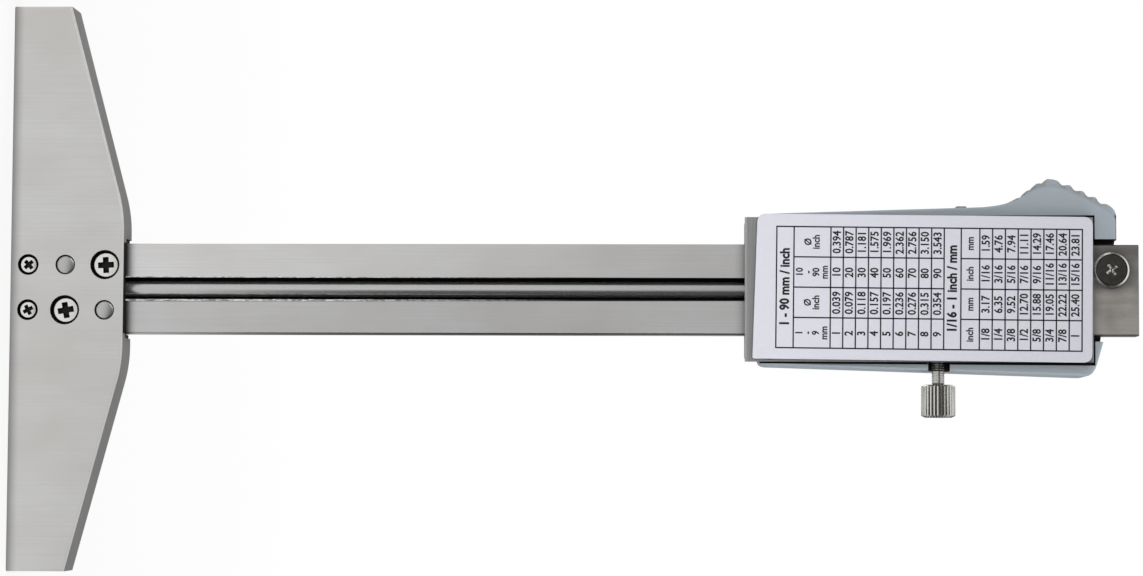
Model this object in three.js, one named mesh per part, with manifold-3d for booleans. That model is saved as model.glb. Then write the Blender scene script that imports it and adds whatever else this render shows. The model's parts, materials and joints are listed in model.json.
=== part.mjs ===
// Digital depth gauge: a T-shaped base carries a grooved beam, and a slider with a display drives a round
// depth rod down the groove and out through the base. Millimetres, +Z up. The gauge stands on its measuring
// face at z = 0. The label side looks along -Y and the display side along +Y. The thumb rest is towards -X,
// the lock screw towards +X. In the gauge's own group y is the depth in front of the beam's back face, and
// in the slider's group z starts at the slider's low end.

import * as THREE from "three";
import { mergeVertices } from "three/addons/utils/BufferGeometryUtils.js";
import Module from "manifold-3d";

const wasm = await Module();
wasm.setup();

// Clearances and shared values
const weld = 1e-4;
const overrun = 5; // how far a cutting tool passes the face that it opens
const screwFit = 0.1; // round a screw, pin or other round part in its hole
const slideFit = 0.15; // between parts that slide or drop into each other
const roundSides = 24;
const smallSides = 16;

// Depth rod
const rodDiameter = 3;
const rodSink = 0.4; // how deep the rod lies under the beam's back face
const rodFloorGap = 0.1;
const rodSideGap = 0.5;
const rodTipEdge = 0.25;
const rodTipLift = 0.05; // the tip stops this far inside the measuring face
const rodSides = 32;
const spigotDiameter = 2.2;
const spigotLength = 8;

// Beam, with the seat of the scale strip in its front
const beamWidth = 16;
const beamPast = 8.1; // of the beam above the slider when the rod is drawn in
const beamEdge = 0.25;
const webThickness = 0.5; // left between the groove and the seat of the scale strip
const stripThickness = 0.55;
const stripInset = 0.05; // how far the strip lies under the beam's front face
const stripWidth = 10.8;
const stripMargin = 2; // from the base to its low end
const stripEndMargin = 1.7; // from its high end to the beam's end
const grooveEndMargin = 11; // from the end of the groove to the beam's end

// Base
const baseLength = 100;
const baseWidth = 20; // from the measuring face to the shoulder, at the middle
const baseMidLength = 26.9; // the straight part of the shoulder
const baseSlope = THREE.MathUtils.degToRad(15);
const baseBlend = 25; // radius between the straight part and the slopes
const baseBackWall = 3.2;
const baseFrontLip = 0.2; // how far the base stands proud of the beam's front
const baseChamfer = 0.35;
const mouthRelief = 0.8; // the relief round the beam where it enters the base
const mouthReliefHeight = 0.4;
const mouthReliefBack = 0.5;

// Fasteners of the base
const guideScrewHeight = 3.1;
const highFastenerMargin = 3.25; // from the shoulder to the high fasteners
const lowFastenerShare = 0.4835; // of the way from the guide screws to them
const guideScrewHead = 1.55;
const guideScrewHeadHeight = 1;
const guideScrewRim = 0.25;
const guideScrewShank = 0.95;
const guideScrewLength = 4.4;
const guideScrewSlot = 0.4;
const guideScrewSlotLength = 1.5;
const guideScrewSlotDepth = 0.6;
const guideBore = 1.85;
const guideBoreDepth = 1.35;
const baseScrewHead = 2.2;
const baseScrewHeadHeight = 0.9;
const baseScrewRim = 0.35;
const baseScrewShank = 1.4;
const baseScrewLength = 4.2;
const baseScrewSlot = 0.7;
const baseScrewSlotLength = 2.4;
const baseScrewSlotDepth = 0.5;
const baseBore = 2.6;
const baseBoreDepth = 1.85;
const pinRadius = 1.65;
const pinLength = 5.6;
const pinSink = 0.05;
const fastenerWall = 0.5; // of the beam between the groove and the thread of a base screw
const blindDepth = 0.3; // how far a hole is deeper than its screw

// Rod guide under the beam
const guideHeight = 6;
const guideLift = 0.15; // its low face lies this far above the measuring face
const guideRodFit = 0.06;
const guideToBeam = 0.05;

// Stop screw near the beam's free end
const stopScrewHead = 3.1;
const stopScrewHeadHeight = 1.4;
const stopScrewRim = 0.3;
const stopScrewShank = 1.4;
const stopScrewLength = 3;
const stopScrewSlot = 0.5;
const stopScrewSlotLength = 2;
const stopScrewSlotDepth = 0.5;
const stopOffset = 3.5; // from the beam's middle towards the thumb rest
const stopToSlider = 0.12;

// Slider frame
const travel = 100; // how far the slider and its rod can go down
const travelMargin = 9.6; // left between the slider and the base at the end of the travel
const railWidth = 3.75;
const plateGap = 0.35; // between the beam's back face and the back plate
const sensorGap = 0.3; // between the scale strip's side and the circuit board
const boardEndMargin = 6; // from the frame's low end to the board
const boardTopMargin = 6.8; // from the board to the frame's high end
const ledgeWidth = 2.35; // what of each rail the board lies on

// Back plate and label
const plateThickness = 1;
const plateOverhang = 0.8;
const labelLowMargin = 1.85; // from the frame's low end to the label
const labelHighMargin = 0.15; // from the label to the frame's high end
const labelWidth = 25.5;
const labelThickness = 0.35;
const labelCorner = 1.6;
const labelSharpCorner = 0.4; // the low one on the lock screw's side
const labelLowSlant = [0.25, -0.4]; // how much higher its low corners lie
const labelShift = 0.27; // its middle lies this far towards the thumb rest
const labelSkew = THREE.MathUtils.degToRad(0.55); // it was stuck on slightly askew
const plateScrewHead = 1.75;
const plateScrewShank = 0.95;
const plateScrewSink = 0.05;

// Rod clamp
const clampGap = 0.15; // between the clamp and the groove's walls
const clampLow = 3;
const clampLength = 17;
const clampScrewFirst = 10.5; // above the clamp's low end
const clampScrewPitch = 4;
const clampScrewLength = 3.2;

// Gib strip, with its two set screws
const gibThickness = 0.55;
const gibRest = 0.3; // its gap to the beam's edge with the lock screw loose
const gibSideMargin = 0.5; // from the faces of the beam to the strip's edges
const gibEndMargin = 4;
const setScrewRadius = 0.85;
const setScrewMargin = 14; // from the frame's ends to the set screws
const setScrewTip = 0.05;

// Lock screw
const lockHeight = 34.03; // above the frame's low end
const lockShank = 1.15;
const lockHead = 3;
const lockHeadLength = 5.75;
const lockHeadEdge = 0.45;
const lockNeck = 2.4; // free length between the housing and the head
const knurlTeeth = 22;
const knurlDepth = 0.3;
const lockNotch = 1.9; // half width of the notch in the housing

// Circuit board
const boardThickness = 1;
const boardScrewHead = 1.1;
const boardScrewHeadHeight = 0.6;
const boardScrewRim = 0.15;
const boardScrewShank = 0.7;
const boardScrewLength = 1.5;
const boardScrewSlot = 0.3;
const boardScrewSlotLength = 1.2;
const boardScrewSlotDepth = 0.3;
const boardScrewMargin = 2; // from the board's low end to its first screws
const boardScrewTop = 4.5; // from the board's high end to its other screws
const chipSize = 6;
const chipHeight = 1;
const chipHeightOnBoard = 30; // above the board's low end

// Display
const glassLength = 32.6;
const glassWidth = 13;
const glassThickness = 1.8;
const glassOffset = 2.75; // its middle towards the lock screw
const glassMargin = 4.9; // from the board's low end to the glass
const zebraHeight = 2.4;
const zebraWidth = 1.6;
const holderWall = 1.1;
const holderLedge = 0.5; // how far the holder reaches under the glass
const holderRise = 1; // of the holder above the glass
const windowBorder = 1.9; // how far the window passes the glass
const windowThickness = 1;
const windowFit = 0.1;
const openingInset = 0.3; // of the opening under the window, inside the glass's edge

// Buttons
const buttonLength = 6.4;
const buttonWidth = 3.4;
const buttonProud = 0.7;
const buttonTravel = 0.5;
const buttonFlange = 0.6;
const buttonFlangeThickness = 0.6;
const buttonEndInset = 4.1; // from the glass's ends to the middles of the outer buttons
const buttonToWindow = 1; // from the window's seat to the edge of a button
const matThickness = 1.1;
const matBorder = 1.3;
const postInset = 0.6;
const buttonRoundShare = 0.98; // of the half width, so that a short flat is left

// Battery
const cellRadius = 5.8;
const cellHeight = 5.4;
const cellToGlass = 5.7;
const cellPastBoard = 1; // from the board's high end to the cell's middle
const cellFit = 0.3;
const contactThickness = 0.25;
const contactRise = 0.65;
const contactWidth = 3;
const contactFoot = 2.4;
const contactGap = 0.05;
const doorHalf = 8.2;
const doorThickness = 1.1;
const doorTongue = 0.7;
const doorTongueThickness = 0.4;
const doorMargin = 1.3; // from the cell's bay to the door's low edge
const doorRidge = 0.3;
const doorRidgeWidth = 0.7;
const doorRidgePitch = 1.8;
const doorRidges = 4;
const doorTongueShare = 1 / 3; // of the door's thickness beside the tongue that lies behind it

// Front housing
const housingLow = 2.3; // above the frame's low end
const housingPast = 1.95; // from the frame's high end to its own end beside the beam, by the lock screw
const endFall = 1.8; // from there down to its corner by the lock screw
const endSkew = 2.25; // how much further the end reaches by the thumb rest
const rimDepth = 0.2; // of its back rim in front of the beam's back face
const lipGap = 0.25; // round the back plate at its low end
const lipGapHigh = 0.5; // and at its high end
const lipWall = 0.45;
const lipDepth = 1.4;
const sideSpread = 1.9; // how much each side moves out along its length
const lockSideTrim = 0.2; // how much nearer the side by the lock screw lies
const frontWall = 1.6;
const housingCorner = 1.4;
const endCorner = 3.1; // how far its corner by the lock screw reaches down the side
const endCornerWidth = 2.3; // and along the end
const frontRound = 1.1;
const cornerSteps = 4;
const roundShare = 1 / 3; // of the round, where its flank turns
const backRound = 0.35;
const cavityWall = 1.75; // from the cavity to the housing's low corner
const cavityEndWall = 2.1; // between the cavity and the battery's bay
const passGap = 1; // round the beam at the housing's high end
const boardScrewRoom = 1.2;

// Thumb rest, with shares of its length and of its height, from its foot up
const humpLength = 23.1;
const humpHeight = 3.75;
const gripHeight = 5.2;
const gripReach = 0.4; // how much further the grip's end reaches
const humpShares = [
  [0.13, 0.11], [0.25, 0.34], [0.39, 0.85], [0.54, 1], [0.71, 0.63], [0.87, 0.13], [0.95, -0.13], [0.985, -0.35],
  [1, -0.6],
];
const gripShares = [
  [0.13, 0.09], [0.24, 0.29], [0.32, 0.55], [0.4, 0.82], [0.49, 1], [0.61, 0.87], [0.8, 0.48], [0.885, 0.27],
  [0.96, 0.06], [0.988, -0.08], [1, -0.27],
];
const gripLow = 2.1; // depth at which the grip stands out of the thumb rest
const gripStep = 0.5;
const gripWidth = 7.4;
const notchDepth = 0.5;
const gripRuns = [ // shares of the outline's length
  { from: 0, to: 0.235, steps: 5 },
  { from: 0.235, to: 0.475, steps: 18, notches: 3 },
  { from: 0.475, to: 0.535, steps: 2 },
  { from: 0.535, to: 0.9, steps: 24, notches: 4 },
  { from: 0.9, to: 1, steps: 5 },
];

// Data port and its sliding cover
const portHeight = 34.8; // middle of the closed cover above the frame's low end
const coverLength = 9.4;
const coverWidth = 3;
const coverThickness = 0.8;
const coverTongue = 0.4;
const coverTravel = 8;
const nibLength = 1.8;
const nibHeight = 1;
const portLength = 6.4;
const portWidth = 1.6;
const portDepth = 8; // of its middle in front of the beam's back face

// The sizes of each kind of screw together
const guideScrew = {
  head: guideScrewHead,
  headHeight: guideScrewHeadHeight,
  rim: guideScrewRim,
  shank: guideScrewShank,
  length: guideScrewLength,
  slot: guideScrewSlot,
  slotLength: guideScrewSlotLength,
  slotDepth: guideScrewSlotDepth,
};
const baseScrew = {
  head: baseScrewHead,
  headHeight: baseScrewHeadHeight,
  rim: baseScrewRim,
  shank: baseScrewShank,
  length: baseScrewLength,
  slot: baseScrewSlot,
  slotLength: baseScrewSlotLength,
  slotDepth: baseScrewSlotDepth,
};
const stopScrew = {
  head: stopScrewHead,
  headHeight: stopScrewHeadHeight,
  rim: stopScrewRim,
  shank: stopScrewShank,
  length: stopScrewLength,
  slot: stopScrewSlot,
  slotLength: stopScrewSlotLength,
  slotDepth: stopScrewSlotDepth,
};
const boardScrew = {
  head: boardScrewHead,
  headHeight: boardScrewHeadHeight,
  rim: boardScrewRim,
  shank: boardScrewShank,
  length: boardScrewLength,
  slot: boardScrewSlot,
  slotLength: boardScrewSlotLength,
  slotDepth: boardScrewSlotDepth,
};
const plateScrew = { head: plateScrewHead, shank: plateScrewShank, sink: plateScrewSink };

// Places worked out from the sizes above
const rodRadius = rodDiameter / 2;
const rodDepth = rodSink + rodRadius;
const grooveHalf = rodRadius + rodSideGap;
const grooveDepth = rodSink + rodDiameter + rodFloorGap;
const beamThickness = grooveDepth + webThickness + stripThickness + stripInset;
const beamHalf = beamWidth / 2;
const boardLow = boardEndMargin;
const glassZ = boardLow + glassMargin + glassLength / 2;
const cellZ = glassZ + glassLength / 2 + cellToGlass + cellRadius;
const boardHigh = cellZ - cellPastBoard;
const frameLength = boardHigh + boardTopMargin;
const sliderLow = baseWidth + travelMargin + travel;
const beamEnd = sliderLow + frameLength + beamPast;
const stripStart = baseWidth + stripMargin;
const baseFront = beamThickness + baseFrontLip;
const highFastenerHeight = baseWidth - highFastenerMargin;
const fastenerRise = highFastenerHeight - guideScrewHeight;
const lowFastenerHeight = guideScrewHeight + fastenerRise * lowFastenerShare;
const fastenerOffset = grooveHalf + fastenerWall + baseScrew.shank + screwFit;
const beamLow = guideLift + guideHeight + guideToBeam;
const grooveEnd = beamEnd - grooveEndMargin;
const channelHalf = beamHalf + slideFit;
const frameHalf = channelHalf + railWidth;
const boardBack = beamThickness + sensorGap;
const boardFront = boardBack + boardThickness;
const boardHalf = channelHalf + ledgeWidth;
const plateHalf = frameHalf + plateOverhang;
const plateBack = -plateGap - plateThickness;
const cellBack = boardFront + contactRise + contactGap;
const doorBack = cellBack + cellHeight + contactGap * 2;
const frontFace = doorBack + doorThickness;
const frontInner = frontFace - frontWall;
const foremost = frontFace + buttonProud;
const sideLow = plateHalf + lipGap + lipWall;
const sideHigh = sideLow + sideSpread;
const housingHigh = frameLength + housingPast;
const housingLength = housingHigh - housingLow;
const housingFar = housingHigh + endSkew + gripReach + overrun; // past all of it
const labelLength = frameLength - labelLowMargin - labelHighMargin;
const labelMiddle = labelLowMargin + labelLength / 2;
const bayRadius = cellRadius + cellFit;
const glassBack = boardFront + zebraHeight;
const buttonPitch = glassLength / 2 - buttonEndInset;
const windowHalfX = glassWidth / 2 + windowBorder;
const windowHalfZ = glassLength / 2 + windowBorder;
const buttonX = glassOffset - windowHalfX - windowFit - buttonToWindow - buttonWidth / 2;
const cavityHalf = sideLow - cavityWall;
const cavityLow = boardLow + boardScrewMargin - boardScrew.head - windowFit;
const cavityHigh = cellZ - bayRadius - cavityEndWall;
const lockDepth = beamThickness / 2;
const gibReach = gibRest + gibThickness;
const screwPlaceX = channelHalf + gibReach + (railWidth - gibReach) / 2 + screwFit;
const housingScrewLow = (housingLow + cavityLow) / 2 - screwFit;
const housingScrewHigh = boardHigh + boardTopMargin / 2;

// Shapes

function solidOf(shape) {
  if (shape instanceof wasm.Manifold) return shape;
  const bare = shape.index ? shape.toNonIndexed() : shape.clone();
  for (const name of Object.keys(bare.attributes)) {
    if (name !== "position") bare.deleteAttribute(name);
  }
  const merged = mergeVertices(bare, weld);
  const corners = merged.index.array;
  const kept = [];
  for (let i = 0; i < corners.length; i += 3) {
    const [a, b, c] = corners.subarray(i, i + 3);
    if (a !== b && b !== c && c !== a) kept.push(a, b, c);
  }
  const made = manifoldOf(merged.attributes.position.array, kept);
  return made.volume() > 0 ? made : manifoldOf(merged.attributes.position.array, kept.reverse());
}

function manifoldOf(places, corners) {
  const vertProperties = new Float32Array(places);
  const triVerts = new Uint32Array(corners);
  return new wasm.Manifold(new wasm.Mesh({ numProp: 3, vertProperties, triVerts }));
}

const cut = (body, ...tools) => tools.reduce((left, tool) => left.subtract(solidOf(tool)), solidOf(body));
const join = (first, ...others) => others.reduce((sum, other) => sum.add(solidOf(other)), solidOf(first));

// A box between two places on each axis
function block([x0, x1], [y0, y1], [z0, z1]) {
  const made = new THREE.BoxGeometry(x1 - x0, y1 - y0, z1 - z0);
  return made.translate((x0 + x1) / 2, (y0 + y1) / 2, (z0 + z1) / 2);
}

// Turns a shape made about the Y axis so that it lies along another axis
function along(axis, shape) {
  if (axis === "z") return shape.rotateX(Math.PI / 2);
  if (axis === "x") return shape.rotateZ(-Math.PI / 2);
  return shape;
}

// A bar of round section along an axis, from one place on it to another
function bar(axis, radius, from, to, [x, y, z], sides = roundSides) {
  const made = new THREE.CylinderGeometry(radius, radius, to - from, sides);
  made.translate(0, (from + to) / 2, 0);
  return along(axis, made).translate(x, y, z);
}

// A turned shape about the Y axis, from pairs of radius and place along it
function turned(profile, sides = roundSides) {
  return new THREE.LatheGeometry(profile.map(([radius, place]) => new THREE.Vector2(radius, place)), sides);
}

// A flat outline in x and z, made into a slab between two depths, with its edges broken by a chamfer
function slabOf(outline, back, front, chamfer = 0) {
  const made = new THREE.ExtrudeGeometry(outline, {
    depth: front - back - 2 * chamfer,
    bevelEnabled: chamfer > 0,
    bevelThickness: chamfer,
    bevelSize: chamfer,
    bevelOffset: -chamfer,
    bevelSegments: 1,
    curveSegments: 6,
  });
  return made.rotateX(Math.PI / 2).translate(0, front - chamfer, 0);
}

function roundedRectangle(halfX, halfZ, radius, x = 0, z = 0) {
  const outline = new THREE.Shape();
  const quarter = Math.PI / 2;
  outline.absarc(x + halfX - radius, z + halfZ - radius, radius, 0, quarter, false);
  outline.absarc(x - halfX + radius, z + halfZ - radius, radius, quarter, 2 * quarter, false);
  outline.absarc(x - halfX + radius, z - halfZ + radius, radius, 2 * quarter, 3 * quarter, false);
  outline.absarc(x + halfX - radius, z - halfZ + radius, radius, 3 * quarter, 4 * quarter, false);
  return outline;
}

// Closed sections of equal point count, each at its own depth, skinned into one solid
function skinned(sections) {
  const count = sections[0].points.length;
  const places = sections.flatMap(({ points, depth }) => points.flatMap((p) => [p.x, depth, p.y]));
  const corners = [];
  for (let s = 0; s + 1 < sections.length; s++) {
    for (let i = 0; i < count; i++) {
      const [a, b] = [s * count + i, s * count + ((i + 1) % count)];
      corners.push(a, b, b + count, a, b + count, a + count);
    }
  }
  const last = (sections.length - 1) * count;
  for (const [a, b, c] of THREE.ShapeUtils.triangulateShape(sections[0].points, [])) corners.push(a, c, b);
  for (const [a, b, c] of THREE.ShapeUtils.triangulateShape(sections.at(-1).points, [])) {
    corners.push(last + a, last + b, last + c);
  }
  const made = new THREE.BufferGeometry();
  made.setAttribute("position", new THREE.Float32BufferAttribute(places, 3));
  made.setIndex(corners);
  return made;
}

// Moves each point of a closed counter-clockwise outline inwards, square to the outline there
function inset(points, by) {
  return points.map((point, i) => {
    const before = points.at(i - 1);
    const after = points[(i + 1) % points.length];
    const way = new THREE.Vector2().subVectors(after, before).normalize();
    return new THREE.Vector2(point.x - way.y * by, point.y + way.x * by);
  });
}

// The crossed recess of a screw, cut into the face of its head
function crossRecess(face, { slot, slotLength, slotDepth }) {
  const [half, reach] = [slot / 2, slotLength / 2];
  const depth = [face - overrun, face + slotDepth];
  return [block([-half, half], depth, [-reach, reach]), block([-reach, reach], depth, [-half, half])];
}

// A screw along +Y whose head lies on the plane y = 0 and reaches towards -Y
function panScrew(screw) {
  const { head, headHeight, shank, length, rim } = screw;
  const profile = [
    [0, -headHeight], [head - rim, -headHeight], [head, rim - headHeight], [head, 0],
    [shank, 0], [shank, length], [0, length],
  ];
  return cut(turned(profile), ...crossRecess(-headHeight, screw));
}

// A countersunk screw along +Y whose head ends at the plane y = 0
function sunkScrew({ head, shank, sink }, length) {
  const cone = head - shank;
  const profile = [[0, sink], [head, sink], [shank, sink + cone], [shank, length], [0, length]];
  return solidOf(turned(profile, smallSides));
}

// The hole that a countersunk screw drops into, from the plane y = back
function sunkHole({ head, shank }, back, x, z, through) {
  const [wide, narrow] = [head + screwFit, shank + screwFit];
  const cone = wide - narrow;
  const end = through - back;
  const profile = [[0, -overrun], [wide, -overrun], [wide, 0], [narrow, cone], [narrow, end], [0, end]];
  return turned(profile, smallSides).translate(x, back, z);
}

// Materials

function finish(color, roughness, metalness) {
  return new THREE.MeshStandardMaterial({ color, roughness, metalness });
}

const groundSteel = finish(0xc4c5c3, 0.38, 1);
const beamSteel = finish(0xb4b5b3, 0.35, 1);
const polishedSteel = finish(0xd2d3d1, 0.2, 1);
const darkSteel = finish(0x242422, 0.45, 1);
const platedSteel = finish(0xc9c6bd, 0.25, 1);
const bronze = finish(0xb08a4a, 0.4, 1);
const housingPlastic = finish(0x9ba3aa, 0.5, 0);
const buttonPlastic = finish(0x3c4c66, 0.45, 0);
const coverPlastic = finish(0x8a9299, 0.5, 0);
const labelFoil = finish(0xd0d0d8, 0.4, 0);
const scaleFilm = finish(0xa9adb0, 0.4, 0);
const boardFibre = finish(0x2f6b45, 0.5, 0);
const displayGlass = finish(0x8f9a8c, 0.15, 0);
const clearPlastic = finish(0xdfe6ea, 0.08, 0);
const moulding = finish(0x2c2e30, 0.6, 0);
const rubber = finish(0x4a4c4e, 0.8, 0);

const gauge = new THREE.Group();
const body = new THREE.Group();
body.position.y = (baseBackWall - foremost) / 2;
gauge.add(body);
const slider = new THREE.Group();
slider.position.z = sliderLow;
body.add(slider);

function piece(parent, name, shape, material, x = 0, y = 0, z = 0) {
  const { vertProperties, triVerts } = solidOf(shape).getMesh();
  const geometry = new THREE.BufferGeometry();
  geometry.setAttribute("position", new THREE.BufferAttribute(vertProperties, 3));
  geometry.setIndex(new THREE.BufferAttribute(triVerts, 1));
  geometry.computeVertexNormals();
  const mesh = new THREE.Mesh(geometry, material);
  mesh.name = name;
  mesh.position.set(x, y, z);
  parent.add(mesh);
  return mesh;
}

// Where the fasteners of the base lie: two rows, either side of the rod
const guideScrewPlaces = [["left", -fastenerOffset], ["right", fastenerOffset]];
const baseScrewPlaces = [
  ["left", -fastenerOffset, highFastenerHeight],
  ["right", fastenerOffset, lowFastenerHeight],
];
const pinPlaces = [
  ["left", -fastenerOffset, lowFastenerHeight],
  ["right", fastenerOffset, highFastenerHeight],
];

// Base

function baseOutline() {
  const outline = new THREE.Shape();
  const half = baseLength / 2;
  const midHalf = baseMidLength / 2;
  const endWidth = baseWidth - (half - midHalf) * Math.tan(baseSlope);
  const tangent = baseBlend * Math.tan(baseSlope / 2);
  const up = Math.PI / 2;
  outline.moveTo(-half, -overrun);
  outline.lineTo(half, -overrun);
  outline.lineTo(half, endWidth);
  outline.absarc(midHalf - tangent, baseWidth - baseBlend, baseBlend, up - baseSlope, up, false);
  outline.absarc(tangent - midHalf, baseWidth - baseBlend, baseBlend, up, up + baseSlope, false);
  outline.lineTo(-half, endWidth);
  outline.closePath();
  return outline;
}

function makeBase() {
  const open = baseFront + overrun;
  const wide = beamHalf + mouthRelief;
  const bores = [
    ...guideScrewPlaces.map(([, x]) => [x, guideScrewHeight, guideBore, guideBoreDepth, guideScrew.shank]),
    ...baseScrewPlaces.map(([, x, z]) => [x, z, baseBore, baseBoreDepth, baseScrew.shank]),
  ].flatMap(([x, z, bore, depth, shank]) => [
    bar("y", bore, -baseBackWall - overrun, depth - baseBackWall, [x, 0, z]),
    bar("y", shank + screwFit, -baseBackWall - overrun, overrun, [x, 0, z]),
  ]);
  const pins = pinPlaces.map(([, x, z]) =>
    bar("y", pinRadius + screwFit, -baseBackWall - overrun, overrun, [x, 0, z]));
  return cut(
    slabOf(baseOutline(), -baseBackWall, baseFront, baseChamfer),
    block([-baseLength, baseLength], [-baseLength, baseLength], [-2 * overrun, 0]),
    block([-beamHalf - screwFit, beamHalf + screwFit], [0, open], [-overrun, baseWidth + overrun]),
    block([-wide, wide], [-mouthReliefBack, open], [baseWidth - mouthReliefHeight, baseWidth + overrun]),
    ...bores,
    ...pins,
  );
}

function makeRodGuide() {
  const holes = guideScrewPlaces.map(([, x]) =>
    bar("y", guideScrew.shank + screwFit, -overrun, guideScrewTip + blindDepth, [x, 0, guideScrewHeight]));
  return cut(
    block([-beamHalf, beamHalf], [0, beamThickness], [guideLift, guideLift + guideHeight]),
    bar("z", rodRadius + guideRodFit, -overrun, beamLow + overrun, [0, rodDepth, 0], rodSides),
    ...holes,
  );
}

const guideScrewSeat = guideBoreDepth - baseBackWall;
const baseScrewSeat = baseBoreDepth - baseBackWall;
const guideScrewTip = guideScrewSeat + guideScrew.length;
const baseScrewTip = baseScrewSeat + baseScrew.length;
const pinBack = pinSink - baseBackWall;

piece(body, "base_block", makeBase(), groundSteel);
piece(body, "rod_guide", makeRodGuide(), groundSteel);
for (const [side, x] of guideScrewPlaces) {
  piece(body, `guide_screw_${side}`, panScrew(guideScrew), platedSteel, x, guideScrewSeat, guideScrewHeight);
}
for (const [side, x, z] of baseScrewPlaces) {
  piece(body, `base_screw_${side}`, panScrew(baseScrew), platedSteel, x, baseScrewSeat, z);
}
for (const [side, x, z] of pinPlaces) {
  const pin = bar("y", pinRadius, pinBack, pinBack + pinLength, [0, 0, 0]);
  piece(body, `dowel_pin_${side}`, pin, polishedSteel, x, 0, z);
}

// Beam

function beamSection() {
  const outline = new THREE.Shape();
  const [wide, thick] = [beamHalf, beamThickness];
  outline.moveTo(-wide + beamEdge, 0);
  outline.lineTo(wide - beamEdge, 0);
  outline.lineTo(wide, beamEdge);
  outline.lineTo(wide, thick - beamEdge);
  outline.lineTo(wide - beamEdge, thick);
  outline.lineTo(-wide + beamEdge, thick);
  outline.lineTo(-wide, thick - beamEdge);
  outline.lineTo(-wide, beamEdge);
  outline.closePath();
  return outline;
}

const stripHigh = beamEnd - stripEndMargin;
const stripFloor = grooveDepth + webThickness;
const stopHeight = sliderLow + frameLength + stopToSlider + stopScrew.head;

function makeBeam() {
  const stock = new THREE.ExtrudeGeometry(beamSection(), { depth: beamEnd - beamLow, bevelEnabled: false });
  const seatHalf = stripWidth / 2 + screwFit;
  const seatSpan = [stripStart - screwFit, stripHigh + screwFit];
  const stopDepth = stopScrew.length + blindDepth;
  const screwHoles = baseScrewPlaces.map(([, x, z]) =>
    bar("y", baseScrew.shank + screwFit, -overrun, baseScrewTip + blindDepth, [x, 0, z]));
  const pinHoles = pinPlaces.map(([, x, z]) =>
    bar("y", pinRadius + screwFit, -overrun, pinBack + pinLength + blindDepth, [x, 0, z]));
  return cut(
    stock.translate(0, 0, beamLow),
    block([-grooveHalf, grooveHalf], [-overrun, grooveDepth], [-overrun, grooveEnd - grooveHalf]),
    bar("y", grooveHalf, -overrun, grooveDepth, [0, 0, grooveEnd - grooveHalf]),
    block([-seatHalf, seatHalf], [stripFloor, beamThickness + overrun], seatSpan),
    bar("y", stopScrew.shank + screwFit, -overrun, stopDepth, [-stopOffset, 0, stopHeight]),
    ...screwHoles,
    ...pinHoles,
  );
}

function makeStrip() {
  const half = stripWidth / 2;
  return solidOf(block([-half, half], [stripFloor, stripFloor + stripThickness], [stripStart, stripHigh]));
}

piece(body, "beam", makeBeam(), beamSteel);
piece(body, "scale_strip", makeStrip(), scaleFilm);
piece(body, "stop_screw", panScrew(stopScrew), darkSteel, -stopOffset, 0, stopHeight);

// Slider frame

const gibInner = beamHalf + gibRest;
const gibOuter = gibInner + gibThickness;
const gibFace = [gibSideMargin, beamThickness - gibSideMargin];
const gibSpan = [gibEndMargin, frameLength - gibEndMargin];
const screwStop = gibOuter + setScrewTip;
const setScrewPlaces = [["low", setScrewMargin], ["high", frameLength - setScrewMargin]];
const housingScrewPlaces = [
  ["low_left", -screwPlaceX, housingScrewLow],
  ["low_right", screwPlaceX, housingScrewLow],
  ["high_left", -screwPlaceX, housingScrewHigh],
  ["high_right", screwPlaceX, housingScrewHigh],
];
const boardScrewX = (channelHalf + boardHalf) / 2;
const boardThreadEnd = boardFront - boardScrew.length - blindDepth;
const boardScrewPlaces = [
  ["low_left", -boardScrewX, boardLow + boardScrewMargin],
  ["low_right", boardScrewX, boardLow + boardScrewMargin],
  ["high_left", -boardScrewX, boardHigh - boardScrewTop],
  ["high_right", boardScrewX, boardHigh - boardScrewTop],
];

function makeFrame() {
  const pocket = boardHalf + slideFit;
  const pocketSpan = [boardLow - slideFit, boardHigh + slideFit];
  const gibRoom = [gibFace[0] - slideFit, gibFace[1] + slideFit];
  const threads = housingScrewPlaces.map(([, x, z]) =>
    bar("y", plateScrew.shank + screwFit, -overrun, boardFront + overrun, [x, 0, z]));
  const boardThreads = boardScrewPlaces.map(([, x, z]) =>
    bar("y", boardScrew.shank + screwFit, boardThreadEnd, boardFront + overrun, [x, 0, z]));
  const setHoles = setScrewPlaces.map(([, z]) =>
    bar("x", setScrewRadius + screwFit, beamHalf, frameHalf + overrun, [0, lockDepth, z], smallSides));
  return cut(
    block([-frameHalf, frameHalf], [-plateGap, boardFront], [0, frameLength]),
    block([-channelHalf, channelHalf], [-overrun, boardBack], [-overrun, frameLength + overrun]),
    block([-pocket, pocket], [boardBack, boardFront + overrun], pocketSpan),
    block([-channelHalf, channelHalf], [boardBack - overrun, boardFront + overrun], pocketSpan),
    block([beamHalf, gibOuter + slideFit], gibRoom, [gibSpan[0] - slideFit, gibSpan[1] + slideFit]),
    bar("x", lockShank + screwFit, beamHalf, frameHalf + overrun, [0, lockDepth, lockHeight]),
    ...threads,
    ...boardThreads,
    ...setHoles,
  );
}

piece(slider, "slider_frame", makeFrame(), groundSteel);
for (const [place, z] of setScrewPlaces) {
  const screw = bar("x", setScrewRadius, screwStop, frameHalf - setScrewTip, [0, 0, 0], smallSides);
  piece(slider, `gib_set_screw_${place}`, screw, darkSteel, 0, lockDepth, z);
}
piece(slider, "gib_strip", block([gibInner, gibOuter], gibFace, gibSpan), bronze);

// Rod and its clamp

const clampHigh = clampLow + clampLength;
const rodHigh = clampLow - guideToBeam;
const clampScrewPlaces = [clampScrewFirst, clampScrewFirst + clampScrewPitch].map((up) => clampLow + up);

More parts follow.
